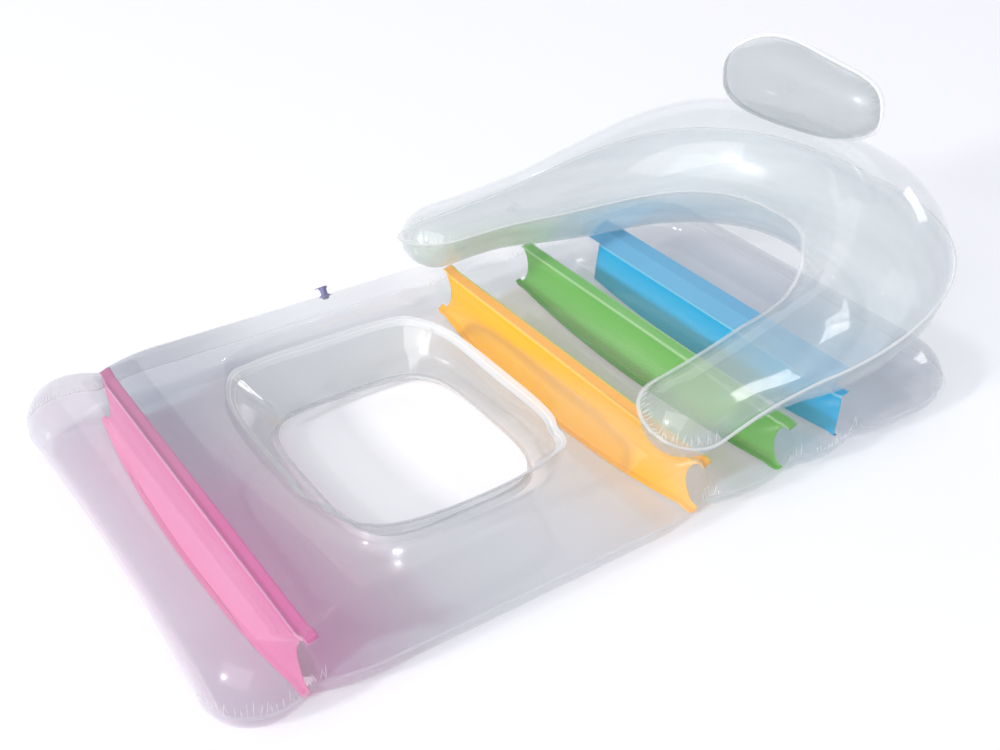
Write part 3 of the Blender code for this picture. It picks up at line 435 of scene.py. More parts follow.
def seam_loops(mesh):
    """The open edges as closed lines of points, the longest first, each from its first edge on."""
    bm = bmesh.new()
    bm.from_mesh(mesh)
    left = {edge.index: edge for edge in bm.edges if edge.is_boundary}
    loops = []
    while left:
        edge = left.pop(min(left))
        start, vert = edge.verts
        line = [start.co.copy(), vert.co.copy()]
        while vert != start:
            step = [near for near in vert.link_edges if near.index in left]
            if not step:
                break
            edge = left.pop(step[0].index)
            vert = edge.other_vert(vert)
            line.append(vert.co.copy())
        loops.append(np.array(line))
    bm.free()
    return sorted(loops, key=lambda line: -run_of(line)[-1])


def run_of(line):
    """The length along a line of points, at each of them."""
    return np.concatenate([[0.0], np.cumsum(np.linalg.norm(np.diff(line, axis=0), axis=1))])


def nearest_in(targets, points):
    """For each point, the index of the nearest target."""
    tree = KDTree(len(targets))
    for i, target in enumerate(targets):
        tree.insert(target, i)
    tree.balance()
    return np.array([tree.find(point)[1] for point in points])


def seam_bend(line):
    """How sharply a closed seam turns at each of its points, as a share of a corner's bend."""
    run = run_of(line)

    def at(distance):
        distance = distance % run[-1]
        return np.stack([np.interp(distance, run, line[:, i]) for i in range(3)], axis=-1)

    before, after = line - at(run - GATHER_SPREAD), at(run + GATHER_SPREAD) - line
    size = np.linalg.norm(before, axis=1) * np.linalg.norm(after, axis=1)
    turn = np.arccos(np.clip((before * after).sum(axis=1) / size, -1.0, 1.0)) / GATHER_SPREAD
    return np.clip((turn - LEAST_BEND) / (CORNER_BEND - LEAST_BEND), GATHER_LEAST, 1.0)


def seam_places(points, lines):
    """Run along the nearest seam, distance from it, and how much the film gathers there."""
    run_at = np.zeros(len(points))
    depth = np.full(len(points), 1.0)
    gather = np.zeros(len(points))
    for line in lines:
        run = run_of(line)
        bend = seam_bend(line)
        nearest = nearest_in(line, points)
        for first in (np.clip(nearest - 1, 0, len(line) - 2), np.clip(nearest, 0, len(line) - 2)):
            along = line[first + 1] - line[first]
            size = np.maximum((along**2).sum(axis=1), MERGE**2)
            share = np.clip(((points - line[first]) * along).sum(axis=1) / size, 0.0, 1.0)
            away = np.linalg.norm(points - line[first] - along * share[:, None], axis=1)
            closer = away < depth
            depth = np.where(closer, away, depth)
            run_at = np.where(closer, run[first] + share * np.sqrt(size), run_at)
            gather = np.where(closer, bend[first], gather)
    return run_at, depth, gather


def ripples(run, lengths, seed):
    """A lively line of sines with fixed random phases, about -1 to 1."""
    phases = np.random.default_rng(seed).uniform(0.0, 2 * pi, len(lengths))
    waves = [np.sin(2 * pi * run / length + phase) for length, phase in zip(lengths, phases)]
    return sum(waves) / len(waves)


def mesh_points(mesh, kind="co"):
    """The points of a mesh, or its normals."""
    values = np.empty(len(mesh.vertices) * 3, np.float32)
    mesh.vertices.foreach_get(kind, values)
    return values.reshape(-1, 3).astype(float)


def set_points(mesh, points):
    mesh.vertices.foreach_set("co", points.astype(np.float32).ravel())
    mesh.update()


def set_values(mesh, name, values):
    attribute = mesh.attributes.new(name, "FLOAT", "POINT")
    attribute.data.foreach_set("value", values.astype(np.float32))


def pucker(mesh, lines, height, lengths, reach, seed, keep=None):
    """Gathers the film along its seams, most where they turn; the folds fade away from the seam."""
    points, normals = mesh_points(mesh), mesh_points(mesh, "normal")
    run, depth, gather = seam_places(points, lines)
    fade = np.exp(-depth / reach) * smooth(GATHER_RISE * depth / reach)
    lift = height * ripples(run, lengths, seed) * fade * np.maximum(gather - SMOOTH_GATHER, 0.0)
    if keep is not None:
        lift *= keep(points)
    set_points(mesh, points + normals * lift[:, None])


def crease_tree(film):
    """Geometry Nodes: thin tapered creases that start on a seam and run inwards over the film."""
    tree = bpy.data.node_groups.new("Creases at a seam", "GeometryNodeTree")
    tree.is_modifier = True
    face = tree.interface
    face.new_socket("Seam", in_out="INPUT", socket_type="NodeSocketGeometry")
    for label in ("Pitch", "Shortest", "Longest", "Width", "Lift", "Least gather"):
        face.new_socket(label, in_out="INPUT", socket_type="NodeSocketFloat")
    face.new_socket("Seed", in_out="INPUT", socket_type="NodeSocketInt")
    face.new_socket("Creases", in_out="OUTPUT", socket_type="NodeSocketGeometry")
    given = add(tree, "NodeGroupInput").outputs
    curve = add(tree, "GeometryNodeMeshToCurve", {"Mesh": given["Seam"]})
    spaced = add(
        tree, "GeometryNodeResampleCurve", {"Curve": curve, "Length": given["Pitch"]}, mode="LENGTH"
    )
    gather = add(tree, "GeometryNodeInputNamedAttribute", {"Name": "gather"}, data_type="FLOAT")
    inward = add(tree, "GeometryNodeInputNamedAttribute", {"Name": "inward"}, data_type="FLOAT_VECTOR")
    needed = add(
        tree, "FunctionNodeCompare", {0: gather, 1: given["Least gather"]}, operation="GREATER_THAN"
    )
    astray = add(
        tree, "FunctionNodeRandomValue",
        {"Min": (-CREASE_STRAY,) * 3, "Max": (CREASE_STRAY,) * 3, "Seed": given["Seed"]},
        data_type="FLOAT_VECTOR",
    )
    aim = add(tree, "ShaderNodeVectorMath", {0: inward, 1: astray}, operation="ADD")
    turn = add(tree, "FunctionNodeAlignRotationToVector", {"Vector": aim}, axis="X")
    length = add(
        tree, "FunctionNodeRandomValue",
        {2: given["Shortest"], 3: given["Longest"], "Seed": given["Seed"]}, data_type="FLOAT",
    )
    scale = calc(tree, "MULTIPLY", length.outputs[1], gather)
    straight = add(
        tree, "GeometryNodeCurvePrimitiveLine", {"Start": (0.0, 0.0, 0.0), "End": (1.0, 0.0, 0.0)}
    )
    stepped = add(
        tree, "GeometryNodeResampleCurve", {"Curve": straight, "Count": CREASE_POINTS}, mode="COUNT"
    )
    placed = add(
        tree, "GeometryNodeInstanceOnPoints",
        {"Points": spaced, "Selection": needed, "Instance": stepped, "Rotation": turn, "Scale": scale},
    )
    real = add(tree, "GeometryNodeRealizeInstances", {"Geometry": placed})
    surface = add(tree, "GeometryNodeObjectInfo", {"Object": film}, transform_space="ORIGINAL")
    where = add(tree, "GeometryNodeInputPosition")
    normal = add(tree, "GeometryNodeInputNormal")
    touched, outward = (
        add(
            tree, "GeometryNodeSampleNearestSurface",
            {"Mesh": surface.outputs["Geometry"], "Value": value, "Sample Position": where},
            data_type="FLOAT_VECTOR",
        )
        for value in (where, normal)
    )
    lifted = add(
        tree, "ShaderNodeVectorMath", {0: outward, 1: given["Lift"], 2: touched},
        operation="MULTIPLY_ADD",
    )
    laid = add(tree, "GeometryNodeSetPosition", {"Geometry": real, "Position": lifted})
    factor = add(tree, "GeometryNodeSplineParameter").outputs["Factor"]
    bulge = calc(tree, "SINE", calc(tree, "MULTIPLY", factor, pi))
    radius = calc(tree, "MULTIPLY_ADD", bulge, given["Width"], CREASE_TIP)
    section = add(tree, "GeometryNodeCurvePrimitiveCircle", {"Resolution": CREASE_SIDES, "Radius": 1.0})
    body = add(
        tree, "GeometryNodeCurveToMesh",
        {"Curve": laid, "Profile Curve": section, "Scale": radius, "Fill Caps": True},
    )
    finished = add(tree, "GeometryNodeSetMaterial", {"Geometry": body, "Material": PUCKER})
    add(tree, "NodeGroupOutput", {"Creases": finished})
    return tree


def seam_creases(mesh, line, name):
    """The small white creases that gathered film shows along a seam, as one plain mesh."""
    film = linked(name + "_under_creases", mesh.copy())
    bm = bmesh.new()
    bm.from_mesh(mesh)
    middles, aims = [], []
    for edge in bm.edges:
        if edge.is_boundary:
            middles.append((edge.verts[0].co + edge.verts[1].co) / 2)
            aims.append((edge.link_faces[0].calc_center_median() - middles[-1]).normalized())
    bm.free()
    seam = bpy.data.meshes.new(name + "_seam")
    pairs = [(i, i + 1) for i in range(len(line) - 1)]
    seam.from_pydata(line.tolist(), pairs, [])
    directions = np.array(aims)[nearest_in(middles, line)]
    inward = seam.attributes.new("inward", "FLOAT_VECTOR", "POINT")
    inward.data.foreach_set("vector", directions.astype(np.float32).ravel())
    set_values(seam, "gather", seam_bend(line))
    source = linked(name + "_seam", seam)
    nodes = source.modifiers.new("Creases", "NODES")
    tree = crease_tree(film)
    nodes.node_group = tree
    sizes = {
        "Pitch": CREASE_PITCH, "Shortest": CREASE_LENGTHS[0], "Longest": CREASE_LENGTHS[1],
        "Width": CREASE_WIDTH, "Lift": CREASE_LIFT, "Least gather": CREASE_LEAST_GATHER,
        "Seed": CREASE_SEED,
    }
    for item in tree.interface.items_tree:
        if item.in_out == "INPUT" and item.name in sizes:
            nodes[item.identifier] = sizes[item.name]
    depsgraph = bpy.context.evaluated_depsgraph_get()
    made = bpy.data.meshes.new_from_object(source.evaluated_get(depsgraph))
    bpy.data.objects.remove(source)
    bpy.data.objects.remove(film)
    return made


def crease_piece(name, body, creases):
    """The creases of one body as a piece of their own."""
    bm = bmesh.new()
    bm.from_mesh(creases)
    mesh = bpy.data.meshes.new(name)
    bm.to_mesh(mesh)
    bm.free()
    mesh.materials.append(PUCKER)
    mesh.shade_smooth()
    obj = linked(name, mesh)
    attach(obj, body)
    return obj


def add_weld_band(mesh, up, line):
    """Grows the flat welded margin outwards from the open edges that lie on a seam."""
    face_along(mesh, up)
    bm = bmesh.new()
    bm.from_mesh(mesh)
    on_seam = {tuple(np.round(point, 5)) for point in line}
    edges = [
        e for e in bm.edges
        if e.is_boundary and all(tuple(np.round(v.co, 5)) in on_seam for v in e.verts)
    ]
    outward = {}
    for edge in edges:
        loop = edge.link_loops[0]
        side = (loop.link_loop_next.vert.co - loop.vert.co).cross(up)
        for vert in edge.verts:
            key = vert.co.to_tuple(6)
            outward[key] = outward.get(key, Vector()) + side
    old_faces = set(bm.faces)
    grown = bmesh.ops.extrude_edge_only(bm, edges=edges)["geom"]
    for vert in [item for item in grown if isinstance(item, bmesh.types.BMVert)]:
        vert.co += outward[vert.co.to_tuple(6)].normalized() * WELD_BAND
    for face in bm.faces:
        if face not in old_faces:
            face.material_index = 1
    bmesh.ops.recalc_face_normals(bm, faces=bm.faces)
    bm.to_mesh(mesh)
    bm.free()
    face_along(mesh, up)


def finish_piece(mesh, body, nodes, materials, offset=1.0):
    """Gives a film its thickness, its materials and its body."""
    obj = linked(mesh.name, mesh)
    for material in materials:
        mesh.materials.append(material)
    solid = obj.modifiers.new("Film thickness", "SOLIDIFY")
    solid.thickness = FILM
    solid.offset = offset
    solid.use_even_offset = False
    mesh.shade_smooth()
    mesh.set_sharp_from_angle(angle=SHARP)
    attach(obj, body)
    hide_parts(*nodes)
    return obj


def linked(name, data):
    """A new object in the scene."""
    obj = bpy.data.objects.new(name, data)
    bpy.context.scene.collection.objects.link(obj)
    return obj


def add(tree, kind, inputs=None, **settings):
    """Adds a node with its settings; an input is a value, a socket or a node's first output."""
    node = tree.nodes.new(kind)
    for name, value in settings.items():
        setattr(node, name, value)
    for name, value in (inputs or {}).items():
        if isinstance(value, bpy.types.Node):
            value = value.outputs[0]
        if isinstance(value, bpy.types.NodeSocket):
            tree.links.new(value, node.inputs[name])
        else:
            node.inputs[name].default_value = value
    return node


def calc(tree, operation, *values, **settings):
    return add(tree, "ShaderNodeMath", dict(enumerate(values)), operation=operation, **settings)


def blend(tree, share, first, second):
    """The colour that lies between two at a share."""
    inputs = {0: share, 6: first, 7: second}
    return add(tree, "ShaderNodeMix", inputs, data_type="RGBA").outputs[2]


def stored(tree, name):
    """A value that the mesh carries at its points."""
    return add(tree, "ShaderNodeAttribute", attribute_name=name).outputs["Fac"]


def noise(tree, place, scale, detail):
    return add(tree, "ShaderNodeTexNoise", {"Vector": place, "Scale": scale, "Detail": detail})


def uneven(tree, place, scale, detail, strength, height):
    """The normal of film that isn't quite flat."""
    drift = noise(tree, place, scale, detail)
    return add(tree, "ShaderNodeBump", {"Height": drift, "Strength": strength, "Distance": height})


def new_material(name):
    material = bpy.data.materials.new(name)
    material.use_nodes = True
    material.node_tree.nodes.clear()
    return material, material.node_tree


def clear_film(
    name, shades, alpha, rim, roughness, waves, stripes=None, lights=(), coat=2.2, shade=1.0
):
    """Calendered soft PVC film: smooth and a little milky, with a wet shine.

    The lights are painted light and painted shade from the dyed webs on the film, and clearer film in
    front of
    them: an attribute, its colour and how much denser the film looks there. The coat's IOR is raised
    because the film's alpha thins the coat too.
    Shade is how much of its density the film's shadow keeps: milky film lets light through, scattered.
    """
    material, tree = new_material("Calendered PVC film, " + name)
    place = add(tree, "ShaderNodeTexCoord").outputs["Object"]
    tone = blend(tree, noise(tree, place, 4.0, 2.0), colour(shades[0]), colour(shades[1]))
    cover = alpha
    if stripes:
        run, across = (stored(tree, part) for part in ("tube_run", "tube_across"))
        along = calc(tree, "MULTIPLY", run, STRIPE_RUN)
        over = calc(tree, "MULTIPLY", across, MM_PER_M / stripes[0])
        band = noise(tree, add(tree, "ShaderNodeCombineXYZ", {"X": along, "Y": over}), 1.0, 1.0)
        cover = calc(tree, "MULTIPLY_ADD", band, stripes[1], alpha - stripes[1] / 2)
    for light, code, denser in lights:
        near = stored(tree, light)
        tone = blend(tree, near, tone, colour(code))
        cover = calc(tree, "MULTIPLY_ADD", near, denser, cover)
    facing = add(tree, "ShaderNodeLayerWeight", {"Blend": 0.5}).outputs["Facing"]
    steep = calc(tree, "POWER", facing, RIM_POWER)
    # Nearly edge-on the film's colour is painted pale: a painted reflection
    tone = blend(tree, steep, tone, colour("E6E9F2"))
    wavy = uneven(tree, place, MM_PER_M / waves[0], 1.0, 1.0, waves[1] / MM_PER_M)
    cover = calc(tree, "MULTIPLY_ADD", steep, rim, cover, use_clamp=True)
    if shade < 1.0:
        shadow = add(tree, "ShaderNodeLightPath").outputs["Is Shadow Ray"]
        kept = calc(tree, "MULTIPLY_ADD", shadow, shade - 1.0, 1.0)
        cover = calc(tree, "MULTIPLY", cover, kept)
    shader = add(
        tree, "ShaderNodeBsdfPrincipled",
        {"Base Color": tone, "Normal": wavy, "Alpha": cover, "Roughness": roughness, "IOR": FILM_IOR,
         "Specular IOR Level": 0.8, "Coat Weight": 1.0, "Coat IOR": coat, "Coat Roughness": 0.05},
    )
    add(tree, "ShaderNodeOutputMaterial", {"Surface": shader})
    return material


def weld(name, code, alpha):
    """Two films melted into one under the welding bar: smooth, whiter and a little thicker."""
    material, tree = new_material(name)
    place = add(tree, "ShaderNodeTexCoord").outputs["Object"]
    bump = uneven(tree, place, 60.0, 1.0, 0.4, 0.0002)
    shader = add(
        tree, "ShaderNodeBsdfPrincipled",
        {"Base Color": colour(code), "Normal": bump, "Roughness": 0.3, "IOR": FILM_IOR, "Alpha": alpha},
    )
    add(tree, "ShaderNodeOutputMaterial", {"Surface": shader})
    return material


def dyed_film(name, shades, glow):
    """Dyed soft PVC film: even, strong colour; light that passes it falls on as the dye's colour."""
    material, tree = new_material("Dyed PVC film, " + name)
    place = add(tree, "ShaderNodeTexCoord").outputs["Object"]
    shade = blend(tree, noise(tree, place, 7.0, 2.0), colour(shades[0]), colour(shades[1]))
    bump = uneven(tree, place, 16.0, 2.0, 1.0, 0.0012)
    shader = add(
        tree, "ShaderNodeBsdfPrincipled",
        {"Base Color": shade, "Normal": bump, "Roughness": 0.32, "IOR": FILM_IOR,
         "Specular IOR Level": 0.05, "Coat Weight": 0.07, "Coat Roughness": 0.08},
    )
    passed = add(tree, "ShaderNodeBsdfTransparent", {"Color": colour(glow)})
    shadow = add(tree, "ShaderNodeLightPath").outputs["Is Shadow Ray"]
    share = calc(tree, "MULTIPLY", shadow, PASSED_SHARE)
    mix = add(tree, "ShaderNodeMixShader", {0: share, 1: shader, 2: passed})
    add(tree, "ShaderNodeOutputMaterial", {"Surface": mix})
    return material


# The mattress film: clear enough for the webs' colours, with painted pink and orange light and painted
# blue-grey shade from the webs on it
MATTRESS_PAINTED_TINTS = (
    ("pink_light", "A0609A", 0.120),
    ("sky_light", "666E8A", 0.190),
    ("orange_light", "F8BC5C", 0.110),
    ("web_view", "FFFFFF", -0.035),
)
UPPER_FILM = clear_film(
    "mattress upper", ("8A94A4", "9CA4AE"), 0.092, 0.0, 0.20, (70.0, 1.2),
    lights=MATTRESS_PAINTED_TINTS, coat=1.75,
)
# The under film lies on the ground and looks denser, but its margin is seen nearly clear; painted pink
# light and painted blue-grey shade lie on it
LOWER_FILM = clear_film(
    "mattress lower", ("949EAE", "A2ACB6"), 0.130, -0.125, 0.20, (60.0, 1.0),
    lights=(("pink_light", "A8609A", 0.08), ("sky_light", "6C8CA4", 0.07)),
)
# Stretched film of the window wall: milkier where it was drawn thin, with painted orange light from the
# yellow web
WALL_FILM = clear_film(
    "window wall", ("B4BCC0", "C8CECE"), 0.24, 0.02, 0.16, (50.0, 1.2),
    lights=(("orange_light", "F8C078", 0.28),),
)
# The backrest's upper film turns clear where it is seen along its face: its far side shows there;
# painted green and blue light from the webs lies low on its inner side
BACK_UPPER = clear_film(
    "backrest upper", ("B4C0C4", "C8D0D2"), 0.140, -0.130, 0.30, (90.0, 1.4), stripes=(24.0, 0.05),
    lights=(("green_light", "A0BE80", 0.18), ("blue_light", "7CB0CC", 0.18)), coat=2.0, shade=0.4,
)
# Its under film is milky, with long soft folds along the tube; painted green and blue light from the
# webs lies low on its inner side
BACK_LOWER = clear_film(
    "backrest lower", ("9CACB2", "B0BCC0"), 0.25, -0.05, 0.30, (70.0, 1.2), stripes=(22.0, 0.20),
    lights=(("green_light", "BCD090", 0.12), ("blue_light", "9CC8E0", 0.07)), coat=2.0, shade=0.35,
)
# The pillow's front is the greyest film, with a dull shine; its back is nearly clear behind it
PILLOW_FRONT = clear_film(
    "pillow front", ("929B9F", "9EA6A8"), 0.38, -0.06, 0.36, (60.0, 1.4), coat=1.4, shade=0.35
)
PILLOW_BACK = clear_film(
    "pillow back", ("D4DADC", "E0E4E4"), 0.06, -0.03, 0.24, (60.0, 1.4), coat=1.7, shade=0.35
)
# Welded margins and the window's ring: whiter where the bar pressed two films into one
WELD = weld("Welded film margin", "F2F3F8", 0.05)
WELD_WHITE = weld("Welded film margin, doubled", "F4F5F6", 0.36)
RING = weld("Welded film, window ring", "EAECEE", 0.50)
RING_EDGE = weld("Welded film, edge of the welding bar", "F2F3F4", 0.60)
# Creased film scatters the light: fine white lines at the seams
PUCKER = weld("Creased film, gathered at a seam", "FAFAFA", 0.32)
# Dyed webs and the tie strip, the strong colours seen through the clear film: the flat of the web,
# the doubled margin, the pale weld line and the cut edge
PINK = dyed_film("pink", ("EC86B2", "F29AC0"), "FF90C6")
PINK_DARK = dyed_film("pink, doubled", ("F07CAE", "F488B6"), "FF9CC8")
PINK_LINE = dyed_film("pink, weld", ("F8B4D0", "FAC0D8"), "FFC4DE")
YELLOW = dyed_film("orange yellow", ("FFB400", "FFBC00"), "FFC850")
YELLOW_DARK = dyed_film("orange yellow, doubled", ("F8AC34", "FAB640"), "FFC878")
YELLOW_LINE = dyed_film("orange yellow, weld", ("FAC860", "FCD070"), "FFD890")
LIME = dyed_film("cut edge", ("CFD83A", "DDE052"), "F0F090")
GREEN = dyed_film("green", ("62B046", "70B854"), "B8E0A0")
GREEN_DARK = dyed_film("green, doubled", ("54AA32", "5EB03E"), "A8D890")
GREEN_LINE = dyed_film("green, weld", ("9CCB90", "A9D39C"), "C8E8B8")
CYAN = dyed_film("cyan", ("00A6DA", "00AEE0"), "98D8EC")
CYAN_DARK = dyed_film("cyan, doubled", ("0080A8", "0088AE"), "80CCE4")
CYAN_LINE = dyed_film("cyan, weld", ("7FC4E4", "8CCEEA"), "B0E0F0")
CORNFLOWER = dyed_film("cornflower", ("6AA2C2", "74AACC"), "A0CCF0")
# Valves: soft moulded PVC, lilac on the mattress and as clear as the film elsewhere
DUSK = weld("Moulded soft PVC, lilac", "7F7DAE", 0.80)
CLEAR_VALVE = weld("Moulded soft PVC, clear", "E8E9F0", 0.02)


def shift(grids):
    return [grid + np.array(OFFSET) for grid in grids]


def off_webs(points):
    """1 away from the webs, 0 on them, so that no fold lifts the film off a web."""
    webs = np.array(CELL_ENDS[1:-1]) + OFFSET.x
    away = np.abs(points[:, :1] - webs[None, :]).min(axis=1)
    return smooth((away - WEB_FLANGE) / WEB_FLANGE)


def painted_tint_shares(mesh):
    """How much painted light and painted shade of each web lies on the film, 0 to 1, from the distance
    to the web; web_view is where the film is clearer in front of the webs.
    """
    points = mesh_points(mesh)
    from_pink = points[:, 0] - OFFSET.x - PINK_X
    from_yellow = YELLOW_X + OFFSET.x - points[:, 0]
    across = points[:, 1]
    nearside = smooth((PINK_LIGHT_END + np.where(from_pink < 0, FOOT_SPREAD, 0.0) - across) / LIGHT_FADE)
    # Painted pink light on both sides of the pink web, weaker on the foot side
    pink = np.exp(-((from_pink / PINK_LIGHT_REACH) ** 2)) * nearside
    pink = pink * np.where(from_pink < 0, FOOT_LIGHT, 1.0)
    # Painted blue-grey shade on the far half beside the pink web, and at the head end
    painted_shade_share = np.exp(-(((from_pink - BLUE_SHADE_AT) / BLUE_SHADE_REACH) ** 2)) * (1.0 - nearside)
    from_head = points[:, 0] - OFFSET.x - HEAD_X
    painted_shade_share = np.maximum(painted_shade_share, HEAD_SHADE * np.exp(-((from_head / BLUE_SHADE_REACH) ** 2)))
    # Painted orange light on the foot side of the yellow web
    foot_side = np.where(from_yellow > 0, 1.0, 0.0)
    orange = np.exp(-((from_yellow / ORANGE_LIGHT_REACH) ** 2)) * foot_side
    orange = orange * smooth((ORANGE_LIGHT_END - across) / LIGHT_FADE)
    to_webs = np.array([YELLOW_X, GREEN_X, BLUE_X])[:, None] + OFFSET.x - points[:, 0] - WEB_VIEW_AT
    view = np.exp(-((to_webs / WEB_VIEW_REACH) ** 2)).max(axis=0)
    lights = {"pink_light": pink, "sky_light": painted_shade_share, "orange_light": orange, "web_view": view}
    for name, values in lights.items():
        set_values(mesh, name, values)


def mattress_sheet(name, node, centre, size, height, side, materials, strips):
    up = Vector((0, 0, side))
    seam_z = SEAM_Z + side * GAP / 2
    mesh = grid_mesh(name, shift(mattress_grids(centre, size, height, seam_z)), strips)
    face_along(mesh, up)
    line = seam_loops(mesh)[0]
    pucker(mesh, [line], *MATTRESS_GATHERS, keep=off_webs)
    points = mesh_points(mesh)
    points[:, 2] = np.maximum(points[:, 2], OFFSET.z)
    set_points(mesh, points)
    painted_tint_shares(mesh)
    creases = seam_creases(mesh, line, name) if side > 0 else None
    add_weld_band(mesh, up, line)
    return finish_piece(mesh, "mattress", (node,), materials), creases


def window_wall():
    square_x, square_y = square_walk()
    top = window_outline(square_x, square_y, WINDOW_X, WINDOW_TOP, kinks=RING_KINKS)
    low_centre = WINDOW_X + WINDOW_LOW_SHIFT
    low = window_outline(square_x, square_y, low_centre, WINDOW_LOW)
    under = GAP + FILM / 2
    high_z = window_top_z(*top) - under
    low_z = WEB_LIFT + WINDOW_LOW_RISE + under
    rows = []
    top_band = window_outline(square_x, square_y, WINDOW_X, WINDOW_TOP, grow=WELD_BAND, kinks=RING_KINKS)
    rows.append(np.stack([*top_band, high_z], axis=-1))
    for share in np.linspace(0.0, 1.0, WALL_ROWS):
        x = top[0] + (low[0] - top[0]) * share
        y = top[1] + (low[1] - top[1]) * share
        away = np.hypot(x - WINDOW_X, y)
        bow = WINDOW_WALL_BOW * np.sin(pi * share)
        z = high_z + (low_z - high_z) * share
        rows.append(np.stack([x - (x - WINDOW_X) / away * bow, y - y / away * bow, z], axis=-1))
    low_band = window_outline(square_x, square_y, low_centre, WINDOW_LOW, grow=WELD_BAND)
    rows.append(np.stack([*low_band, np.full(len(square_x), low_z)], axis=-1))
    mesh = grid_mesh("seat_window_wall", shift([np.array(rows)]))
    pucker(mesh, seam_loops(mesh)[:2], *WALL_GATHERS)
    painted_tint_shares(mesh)
    return finish_piece(mesh, "mattress", ("window_wall",), [WALL_FILM], offset=0.0)


def web(name, node, x, half_length, notch, lean, margin, materials, far_end=1.0):
    """A web: lower margin, wall with a round notch in each end, weld line and upper margin.

    Halfway along, the lower weld stands off the upper one by the lean, towards the foot.
    The materials are those of the wall, the lower margin, the weld line, the upper margin and its
    cut edge. A far end below 1 shortens the web on its far side.
    """
    under = GAP + FILM / 2
    y = np.linspace(-1.0, far_end, WEB_STEPS + 1)
    foot = x - lean * (1 - y**2)
    rows, strips = [], []
    for share in LOW_MARGIN_SHARES:
        at = foot - margin * share
        rows.append(np.stack([at, half_length * y, low_height(at, half_length * y) + under], axis=-1))
        strips.append(1 if share else 0)
    line_share = 1.0 - WELD_LINE / WEB_HEIGHT
    for share in (*np.linspace(0.0, 1.0, WEB_ROWS)[1:-2], line_share, WEB_TOP_SHARE):
        reach = half_length - notch * np.sqrt(1 - (2 * share - 1) ** 2)
        wave = WEB_WAVE * np.sin(pi * share) * np.sin(WEB_WAVE_TURNS * y + x * WEB_WAVE_START)
        at = x + wave + (foot - x) * (1.0 - share) ** LEAN_POWER
        low = low_height(foot, reach * y) + under
        high = top_height(np.full(len(y), x), reach * y) - under
        rows.append(np.stack([at, reach * y, low + (high - low) * share], axis=-1))
        strips.append(2 if share >= line_share else 0)
    for offset in HIGH_MARGIN_LINES:
        at = np.full(len(y), x + offset)
        rows.append(np.stack([at, half_length * y, top_height(at, half_length * y) - under], axis=-1))
    strips += [2, 3, 3, 3, 4]
    mesh = grid_mesh(name, shift([np.array(rows)]), strips)
    return finish_piece(mesh, "mattress", (node,), materials, offset=0.0)


def through(position, shares, values):
    """A smooth curve through listed shares of a length, level at both ends."""
    shares, values = np.asarray(shares, float), np.asarray(values, float)
    slopes = np.gradient(values, shares)
    slopes[0] = slopes[-1] = 0.0
    i = np.clip(np.searchsorted(shares, position) - 1, 0, len(shares) - 2)
    width = shares[i + 1] - shares[i]
    t = (position - shares[i]) / width
    return (
        (2 * t**3 - 3 * t**2 + 1) * values[i]
        + (t**3 - 2 * t**2 + t) * width * slopes[i]
        + (3 * t**2 - 2 * t**3) * values[i + 1]
        + (t**3 - t**2) * width * slopes[i + 1]
    )


def backrest_line():
    """Centre line of half the horseshoe in plan, from the apex to the arm's tip, and its run."""
    curve_x = BLUE_X + BACK_APEX - BACK_CURVE
    turn = np.linspace(0.0, pi / 2, BACK_LINE_STEPS)
    bend_x = curve_x + BACK_CURVE * np.cos(turn) ** (2 / BACK_POWER)
    bend_y = BACK_HALF_SPAN * np.sin(turn) ** (2 / BACK_POWER)
    share = np.linspace(0.0, 1.0, BACK_LINE_STEPS)[1:]
    arm = np.stack([curve_x - ARM_LENGTH * share, BACK_HALF_SPAN + ARM_SPLAY * share], axis=-1)
    points = np.concatenate([np.stack([bend_x, bend_y], axis=-1), arm])
    return points, run_of(points)


def backrest_grid(side):
    line, line_run = backrest_line()
    length = line_run[-1]
    even = np.linspace(0.0, 1.0, BACK_STEPS + 1)
    share = BACK_EVEN_SHARE * even + (1.0 - BACK_EVEN_SHARE) * np.sin(pi / 2 * even)
    run = share * length

    def at(distance):
        return np.stack([np.interp(distance, line_run, line[:, i]) for i in (0, 1)], axis=-1)

    centre = at(run)
    step = BULGE_REACH / 4
    behind = at(np.abs(run - step))
    behind[:, 1] = np.where(run < step, -behind[:, 1], behind[:, 1])
    tangent = at(np.minimum(run + step, length)) - behind
    tangent /= np.linalg.norm(tangent, axis=1)[:, None]
    outward = np.stack([tangent[:, 1], -tangent[:, 0], np.zeros(len(run))], axis=-1)
    tip = rounded((length - run) / ARM_TIP_RADIUS)
    rise, width = (through(share, BACK_SHARES, values) for values in (SEAM_RISES, HALF_CHORDS))
    height = through(share, BACK_SHARES, CROWNS if side > 0 else BELLIES) * tip
    width = width * tip
    tilt = (APEX_TILT + (ARM_TILT - APEX_TILT) * share)[:, None]
    up = np.array([0.0, 0.0, 1.0])
    chord = outward * np.cos(tilt) + up * np.sin(tilt)
    upward = -outward * np.sin(tilt) + up * np.cos(tilt)
    middle = np.concatenate([centre, (WEB_LIFT + rise)[:, None]], axis=1)
    across = np.linspace(-1.0, 1.0, TUBE_STEPS + 1)[None, :]
    height = np.maximum(height, MERGE)[:, None]
    radius = (width[:, None] ** 2 + height**2) / (2 * height)
    turn = across * np.arctan2(width[:, None], radius - height)
    over, high = radius * np.sin(turn), height - radius * (1 - np.cos(turn))
    half = (
        middle[:, None, :]
        + chord[:, None, :] * over[:, :, None]
        + upward[:, None, :] * (side * (high + GAP / 2))[:, :, None]
    )
    other = half[::-1].copy()
    other[:, :, 1] *= -1
    runs = np.concatenate([-run[::-1][:-1], run])
    spread = across * width[:, None] * np.ones((len(run), 1))
    spread = np.concatenate([spread[::-1][:-1], spread])
    return np.concatenate([other[:-1], half]), runs, spread


